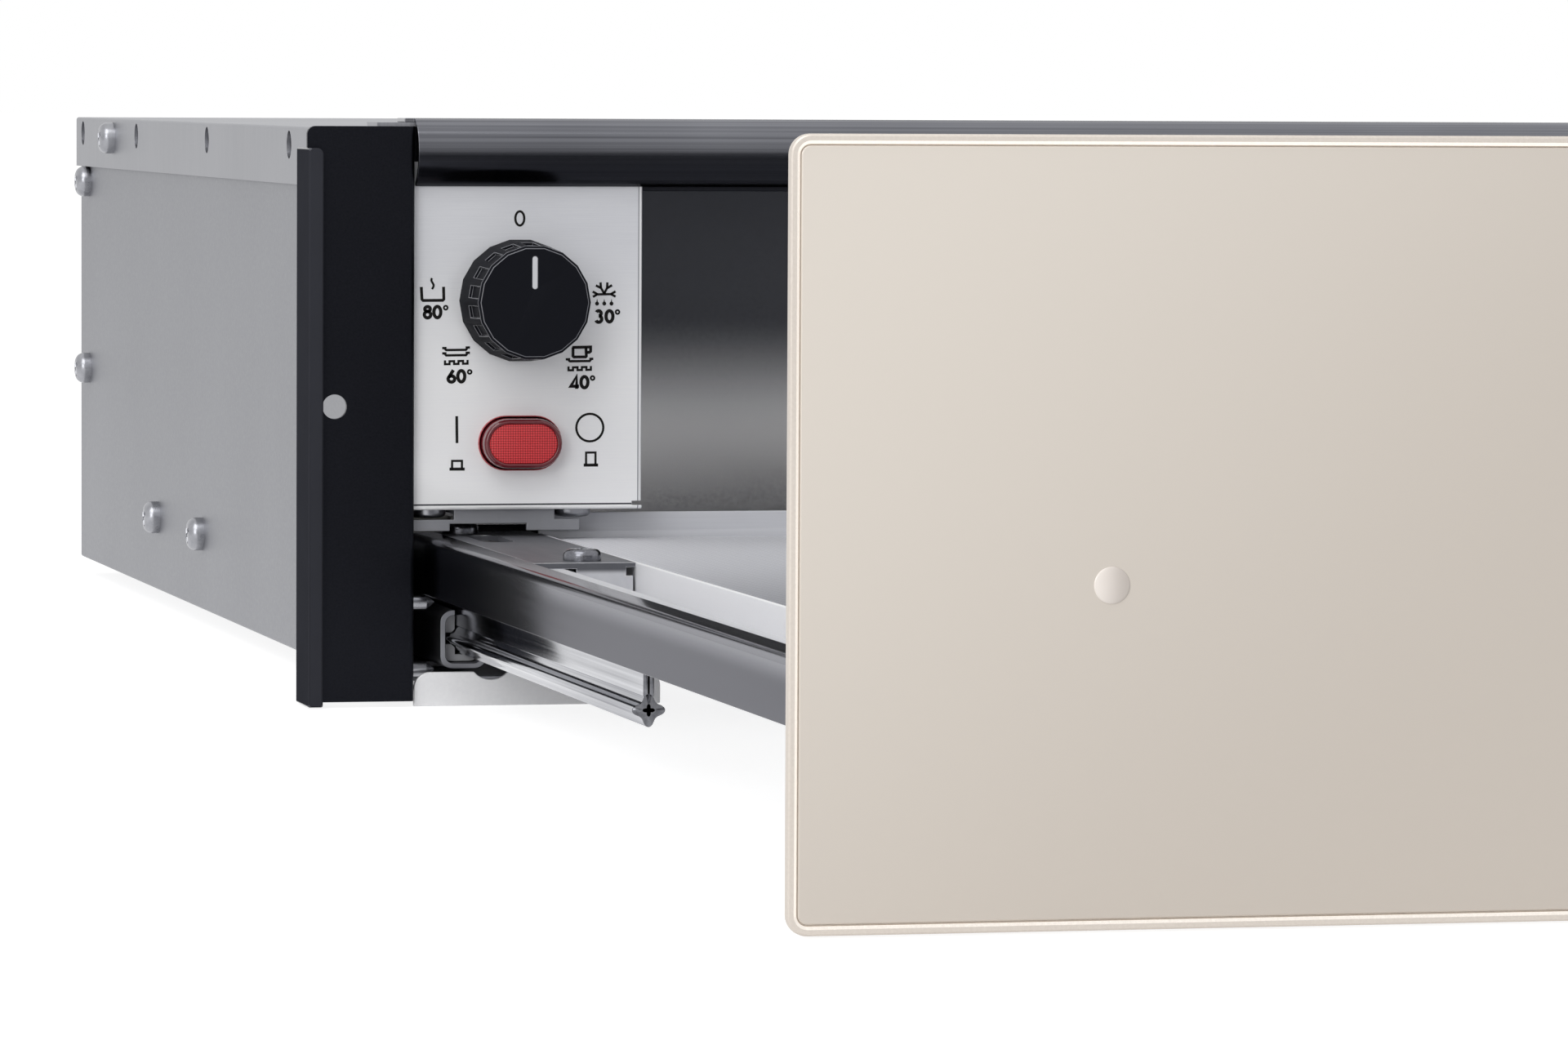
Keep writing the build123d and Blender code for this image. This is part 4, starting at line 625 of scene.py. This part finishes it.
carrier_steel = rolled_sheet("zinc_carrier_steel", "#dcdde0", "#e6e7ea", (0.8, 0.8, 0.8), (0.5, 0.6), 0.003,
                             metal=0.5)
pressed("front_carrier", carrier_steel, 0.25)

# ---------------------------------------------------------------------------------------------------
# Indicator lens. A small round light guide of milky clear plastic let into the glass, slightly domed;
# its colour is painted light at the left and darker at the right as the dome's shading.
lens_radius, lens_deep = 3.3, 3.0
lens_arc = np.linspace(0, np.pi / 2, 9)
lens_r = np.concatenate([[lens_radius, lens_radius], lens_radius * np.cos(lens_arc)[1:]])
lens_h = np.concatenate([[-lens_deep, 0.02], 0.05 + 0.32 * np.sin(lens_arc)[1:]])
milky_tree, milky_place = begin("milky_lens_plastic")
milky_across = node(milky_tree, "ShaderNodeSeparateXYZ", inputs={0: milky_place})
# Painted shading of the dome: light at the left, darker at the right.
milky_painted_shading = node(milky_tree, "ShaderNodeMapRange", {"interpolation_type": "SMOOTHSTEP"},
                   {"Value": milky_across.outputs[0], "From Min": -0.2423, "From Max": -0.2362})
milky_tint = node(milky_tree, "ShaderNodeMix", {"data_type": "RGBA"},
                  {0: milky_painted_shading.outputs[0], 6: linear("#f4ece5"), 7: linear("#c9c0b9")})
surface(milky_tree, Base_Color=milky_tint.outputs[2], Roughness=0.12)
milky = bpy.data.materials["milky_lens_plastic"]
build("indicator_lens_dome", [grid(turned(lens_r, lens_h, (-239.1, -503.6, up(61.4)), (0, -1, 0), 64),
                                   ring=True, first=True)],
      milky, "drawer", ["indicator_lens"], 60)

# ---------------------------------------------------------------------------------------------------
# Control panel. A brushed stainless plate beside the opening, folded back at its right and lower edge,
# with the knob and the switch. Brushed level, painted brighter towards the bottom as light, with a
# darker line and a bright band painted along its folded lower and right edges as shade and highlight.
# Painted light: brighter towards the bottom; the bands are painted shade and highlight along the folds.
plate_steel_painted_light = rolled_sheet("brushed_stainless_plate_painted_light", "#e0e1e6", "#e8e9ed", (14.0, 0.3, 0.3), (0.12, 0.18), 0.0006,
                           (2, up(114.0), up(78.0), "#fbfbfd", "#ffffff"), metal=0.15,
                           bands=((2, up(47.9), up(48.3), "#4a4b50"), (2, up(46.8), up(47.9), "#ffffff"),
                                  (0, -216.7, -216.4, "#a2a3a8"), (0, -216.4, -215.5, "#f6f6f8")))
pressed("control_panel", plate_steel_painted_light, 0.35, bright_cut_highlight)
bracket_steel = rolled_sheet("plain_bracket_steel", "#87888d", "#8d8e93", (3.0, 3.0, 3.0), (0.4, 0.46), 0.0,
                             metal=0.4)
pressed("control_bracket", bracket_steel, 0.2)
pressed("control_box", galvanised, 0.2)


# ---------------------------------------------------------------------------------------------------
# Print on the control panel. The dial's numbers and the small signs beside it, screen printed in a
# dark brown ink that stands a hair above the steel. Places are in mm from the middle of the knob.
knob_x, knob_h = -245.6, 96.9
ink_face, ink_back = 2.95, 3.02     # Y of the ink's two faces; the steel's face is at 3
ink_spread = 0.65                   # half a line is this share of its drawn width


def on_panel(outline, y):
    """Points of an outline round the knob's middle, placed in the model at depth y."""
    return np.stack([outline[:, 0] + knob_x, np.full(len(outline), y), outline[:, 1] + up(knob_h)], 1)


def stroke(points, width, closed=False):
    """A line of ink: a flat bar whose sides are the path moved along its normals, stretched at corners so
    that the bar keeps its width."""
    path = np.array(points, float)
    if closed:
        before, after = path - np.roll(path, 1, 0), np.roll(path, -1, 0) - path
    else:
        step = np.diff(path, axis=0)
        before, after = np.vstack([step[:1], step]), np.vstack([step, step[-1:]])
    before = before / np.linalg.norm(before, axis=1)[:, None]
    after = after / np.linalg.norm(after, axis=1)[:, None]
    mean = before + after
    mean = mean / np.linalg.norm(mean, axis=1)[:, None]
    normal = np.stack([-mean[:, 1], mean[:, 0]], 1)
    stretch = 1 / np.clip(np.sum(mean * after, axis=1), 0.55, 1)
    offset = normal * (stretch * width * ink_spread)[:, None]
    section = np.stack([on_panel(path + side * offset, y)
                        for side, y in ((1, ink_face), (-1, ink_face), (-1, ink_back), (1, ink_back))], 1)
    return grid(section, ring=True, loop=closed, first=not closed, last=not closed)


def oval(x, z, rx, rz, start=0.0, stop=360.0, count=33):
    """Points on an ellipse between two angles in degrees, counted from the right, upward."""
    angle = np.radians(np.linspace(start, stop, count))
    return np.stack([x + rx * np.cos(angle), z + rz * np.sin(angle)], 1)


def ring_stroke(x, z, rx, rz, width):
    """A closed oval line."""
    return stroke(oval(x, z, rx, rz)[:-1], width, closed=True)


def drop(x, z, radius, tip):
    """A water drop: a circle whose top is drawn up to a point."""
    angle = np.radians(np.linspace(70, -250, 27))
    outline = np.vstack([np.stack([x + radius * np.cos(angle), z + radius * np.sin(angle)], 1), [[x, tip]]])
    rows = [on_panel(outline, y) for y in (ink_back, ink_face)]
    return grid(np.array(rows), ring=True, first=True, last=True)


bold, thin = 0.62, 0.54
print_parts = []
# Digits: each zero is a tall oval, the small ring after it is the degree sign.
for x, z, degree_x, degree_z in ((-19.95, -2.75, -17.92, -1.71), (-14.1, -18.08, -12.07, -17.06),
                                 (21.95, -3.83, 23.92, -2.81), (15.9, -19.61, 17.88, -18.62)):
    print_parts += [ring_stroke(x, z, 0.84, 1.33, bold), ring_stroke(degree_x, degree_z, 0.45, 0.45, 0.33)]
print_parts += [ring_stroke(-22.32, -2.02, 0.66, 0.56, bold), ring_stroke(-22.32, -3.37, 0.77, 0.75, bold)]
print_parts += [ring_stroke(-16.49, -18.72, 0.8, 0.73, bold), stroke([(-16.02, -16.6), (-17.2, -18.4)], bold)]
print_parts += [stroke(oval(19.32, -3.12, 0.6, 0.6, 155, -90), bold),
                stroke(oval(19.32, -4.48, 0.74, 0.76, 90, -155), bold)]
print_parts += [stroke([(13.98, -21.2), (13.96, -18.2), (12.55, -20.57), (14.56, -20.57)], bold)]
print_parts += [ring_stroke(0.0, 19.59, 1.08, 1.68, 0.42)]
# Signs: steaming pot, stacked plates and cup over a heater, melting snow star.
print_parts += [stroke([(-23.85, 3.24), (-23.67, 0.3), (-23.4, 0.02), (-18.66, 0.06), (-18.39, 0.33),
                        (-18.46, 3.28)], thin)]
wave = np.linspace(0, 1, 25)
print_parts += [stroke(np.stack([-21.13 - 0.27 * np.sin(wave * 2 * np.pi + 0.5), 5.35 - 2.65 * wave], 1), 0.4)]
print_parts += [stroke([(x, z + shift) for x, z in
                        ((-18.75, -11.34), (-17.98, -11.34), (-17.98, -11.6), (-17.77, -11.82), (-13.0, -11.77),
                         (-12.79, -11.52), (-12.79, -11.22), (-12.02, -11.21))], 0.44) for shift in (0, -1.27)]
print_parts += [stroke([(11.3, -14.13), (12.09, -14.1), (12.09, -14.36), (12.32, -14.58), (17.14, -14.54),
                        (17.35, -14.31), (17.35, -14.03), (18.04, -14.02)], 0.44)]
band = [(0.0, 0.93), (0.0, 0.0), (1.1, 0.02), (1.1, 0.71), (2.2, 0.74), (2.2, 0.05), (3.27, 0.07), (3.27, 0.76),
        (4.37, 0.79), (4.37, 0.1), (5.47, 0.13), (5.47, 1.02)]
print_parts += [stroke([(x + x0, z + z0) for x, z in band], 0.4) for x0, z0 in ((-18.06, -15.2), (11.99, -16.76))]
print_parts += [stroke([(13.08, -11.27), (13.08, -13.36), (13.31, -13.56), (16.15, -13.56), (16.33, -13.36),
                        (16.22, -11.23)], thin),
                stroke([(12.9, -11.27), (17.38, -11.18), (17.38, -12.21), (17.05, -12.46), (16.31, -12.49)], thin)]
print_parts += [stroke(line, 0.43) for line in (
    [(18.62, 1.43), (22.64, 1.48)], [(17.83, 2.09), (18.99, 1.48)], [(18.99, 1.48), (17.91, 0.82)],
    [(23.43, 2.13), (22.28, 1.48)], [(22.28, 1.48), (23.43, 0.89)], [(19.73, 4.3), (19.85, 2.99), (20.64, 1.6)],
    [(20.64, 1.6), (21.36, 2.96), (21.41, 4.3)], [(18.62, 3.56), (19.85, 2.95)], [(22.56, 3.61), (21.36, 2.92)])]
print_parts += [drop(x, -0.79, 0.47, 0.42) for x in (18.91, 20.67, 22.44)]
# Signs of the switch: bar and ring, button in and button out.
print_parts += [stroke([(-15.19, -27.6), (-15.1, -34.05)], 0.5), ring_stroke(17.25, -30.5, 3.3, 3.3, 0.42)]
print_parts += [stroke([(-16.27, -40.1), (-16.27, -38.29), (-13.88, -38.29), (-13.88, -40.1)], 0.4),
                stroke([(-16.9, -40.26), (-13.2, -40.26)], 0.55),
                stroke([(16.36, -39.4), (16.36, -36.49), (18.66, -36.49), (18.66, -39.4)], 0.4),
                stroke([(15.8, -39.5), (19.3, -39.5)], 0.55)]
ink_tree, ink_place = begin("brown_black_print_ink")
ink_cloud = node(ink_tree, "ShaderNodeTexNoise", inputs={"Vector": ink_place, "Scale": 2500.0, "Detail": 1.0})
ink_tint = node(ink_tree, "ShaderNodeMix", {"data_type": "RGBA"},
                {0: ink_cloud.outputs[0], 6: linear("#050302"), 7: linear("#0c0807")})
surface(ink_tree, Base_Color=ink_tint.outputs[2], Roughness=0.6, Specular_IOR_Level=0.2)
build("panel_print", print_parts, bpy.data.materials["brown_black_print_ink"], "housing")

# ---------------------------------------------------------------------------------------------------
# Knob. Moulded in black with 18 flats, each with a shallow rectangular pocket; a pale line is set in
# its face. The edges of the pockets carry thin bright lines, a lighter grey painted on as highlight.
knob_plastic = moulded("black_knob_plastic", "#1c1d22", 0.5, 0.001, gloss=0.015)
# Edges of the pockets: a lighter grey painted on as highlight.
knob_rim_painted_highlight = moulded("glossy_knob_edges_painted_highlight", "#77787e", 0.15, 0.0, gloss=0.5)
pressed("control_knob", knob_plastic, 0.14, knob_rim_painted_highlight)
pointer_paint = moulded("white_pointer_inlay", "#d9dade", 0.45, 0.0)
pressed("knob_pointer", pointer_paint, 0.1)
pressed("knob_spindle", zinc, 0.15)
pressed("thermostat", galvanised, 0.2)

# ---------------------------------------------------------------------------------------------------
# Switch. A lit push button of clear red plastic with a waffled lens in its face, in a black body that
# clips into the plate. The rim is dark and glossy, the lens bright.
def stadium(half_x, half_z, steps=17):
    """Outline of a slot with round ends: a half circle at each end, counter-clockwise."""
    angle = np.linspace(-np.pi / 2, np.pi / 2, steps)
    reach = half_x - half_z
    end = np.stack([reach + half_z * np.cos(angle), half_z * np.sin(angle)], 1)
    return np.vstack([end, -end])


def round_switch(profile):
    """A profile of (inset, y) points carried round the outline of the switch's button."""
    half_x, half_z, middle_x, middle_z = 9.6, 6.0, -245.4, up(62.8)
    rows = []
    for inset, y in profile:
        outline = stadium(half_x - inset, half_z - inset)
        rows.append(np.stack([outline[:, 0] + middle_x, np.full(len(outline), y), outline[:, 1] + middle_z], 1))
    return np.array(rows)


rim_plastic = moulded("dark_red_rim_plastic", "#6d1a24", 0.1, 0.0, gloss=0.7)
rim_profile = ((0, 9.0), (0, 1.6), (0.12, -1.1), (0.22, -1.55), (0.5, -1.9), (0.75, -2.0), (1.1, -2.0),
               (1.25, -1.88), (1.3, -1.6), (1.3, 9.0))
build("switch_rim", [grid(round_switch(rim_profile), ring=True, loop=True)],
      rim_plastic, "switch_button", ["switch_button"], 50)
bezel_profile = ((-0.3, 3.98), (-0.3, 2.45), (-0.38, 2.25), (-0.52, 2.25), (-0.6, 2.45), (-0.6, 2.98), (-0.44, 2.98),
                 (-0.44, 3.98))
bezel_plastic = moulded("clear_red_bezel_plastic", "#b8454c", 0.08, 0.0, gloss=0.7)
build("switch_bezel_ring", [grid(round_switch(bezel_profile), ring=True, loop=True)],
      bezel_plastic, "housing", ["switch_bezel"], 50)
waffle_tree, waffle_place = begin("waffled_red_lens")
waffle_pitch = 0.59             # mm
waffle_axes = node(waffle_tree, "ShaderNodeSeparateXYZ", inputs={0: waffle_place})
waves = [node(waffle_tree, "ShaderNodeMath", {"operation": "SINE"},
              {0: node(waffle_tree, "ShaderNodeMath", {"operation": "MULTIPLY"},
                       {0: waffle_axes.outputs[axis], 1: 2 * math.pi / (waffle_pitch * mm)}).outputs[0]}).outputs[0]
         for axis in (0, 2)]
waffle_sum = node(waffle_tree, "ShaderNodeMath", {"operation": "ADD"}, {0: waves[0], 1: waves[1]})
waffle_peak = node(waffle_tree, "ShaderNodeMapRange",
                   inputs={"Value": waffle_sum.outputs[0], "From Min": -1.2, "From Max": 1.6})
# The waffle's hollows are painted dark red as shade and its peaks light red as highlight.
waffle_tint = node(waffle_tree, "ShaderNodeMix", {"data_type": "RGBA"},
                   {0: waffle_peak.outputs[0], 6: linear("#961b21"), 7: linear("#ee4147")})
waffle_relief = node(waffle_tree, "ShaderNodeBump",
                     inputs={"Strength": 0.7, "Distance": 0.08 * mm, "Height": waffle_peak.outputs[0]})
surface(waffle_tree, Base_Color=waffle_tint.outputs[2], Roughness=0.3, Normal=waffle_relief.outputs[0])
lens_profile = ((1.3, 2.0), (1.3, -1.6), (1.45, -1.74), (1.9, -1.82))
build("switch_lens", [grid(round_switch(lens_profile), ring=True, first=True, last=True)],
      bpy.data.materials["waffled_red_lens"], "switch_button")
switch_plastic = moulded("black_switch_plastic", "#1a1a1d", 0.35, 0.002)
pressed("switch_body", switch_plastic, 0.15)

# ---------------------------------------------------------------------------------------------------
# Tapping screws: four through the flange returns, whose points show inside the opening, and two that
# hold the bracket up under the control plate, their flat heads hanging below it.
tapping_parts = []
for side in (-1, 1):
    for height in (8.6, 24.6):
        tapping_parts += pan_screw(side * 272.5, 7.0, height, (side, 0, 0), 8.0, 3.2, 7.0, 2.0)
for x in (-266.6, -231.2):
    tapping_parts += pan_screw(x, 10.5, 46.85, (0, 0, -1), 9.0, 2.0, 5.0, 1.5)
build("tapping_screw_heads", tapping_parts, zinc, "housing", ["tapping_screws"])

# ---------------------------------------------------------------------------------------------------
# Heating. A tubular heater in loops above the shield, clamped by steel saddles, with a thermal cut-out
# and the sensor tube of the thermostat; wires run in sleeves to a terminal block and a cable gland.
sheath = rolled_sheet("annealed_heater_sheath", "#5e5850", "#857d73", (2.0, 2.0, 2.0), (0.3, 0.5), 0.004)
pressed("heater_element", sheath, 0.1)
pressed("heater_saddles", galvanised, 0.15)
cutout_plastic = moulded("black_phenolic", "#242225", 0.45, 0.004)
pressed("thermal_cutout", cutout_plastic, 0.15)
copper = rolled_sheet("drawn_copper_tube", "#a5613f", "#c98660", (1.5, 1.5, 1.5), (0.22, 0.4), 0.002)
pressed("sensor_capillary", copper, 0.05)
sleeve_tree, sleeve_place = begin("braided_wire_sleeve")
sleeve_cells = node(sleeve_tree, "ShaderNodeTexVoronoi",
                    inputs={"Vector": sleeve_place, "Scale": 1 / (0.9 * mm), "Randomness": 0.4})
# The braid's hollows are painted darker as shade.
sleeve_tint = node(sleeve_tree, "ShaderNodeMix", {"data_type": "RGBA"},
                   {0: sleeve_cells.outputs["Distance"], 6: linear("#2c2c30"), 7: linear("#151517")})
sleeve_relief = node(sleeve_tree, "ShaderNodeBump", {"invert": True},
                     {"Strength": 0.8, "Distance": 0.15 * mm, "Height": sleeve_cells.outputs["Distance"]})
surface(sleeve_tree, Base_Color=sleeve_tint.outputs[2], Roughness=0.8, Normal=sleeve_relief.outputs[0])
pressed("wiring_loom", bpy.data.materials["braided_wire_sleeve"], 0.05)
pale_plastic = moulded("pale_polyamide", "#d9d8d2", 0.4, 0.003)
pressed("terminal_block", pale_plastic, 0.2)
pressed("cable_gland", switch_plastic, 0.3)

# ---------------------------------------------------------------------------------------------------
# Push latch. A black body on the bottom panel at the rear, with a sprung plunger; its striker is fixed
# to the drawer.
pressed("latch_body", cutout_plastic, 0.2)
pressed("latch_plunger", pale_plastic, 0.2)
pressed("latch_striker", carrier_steel, 0.2)
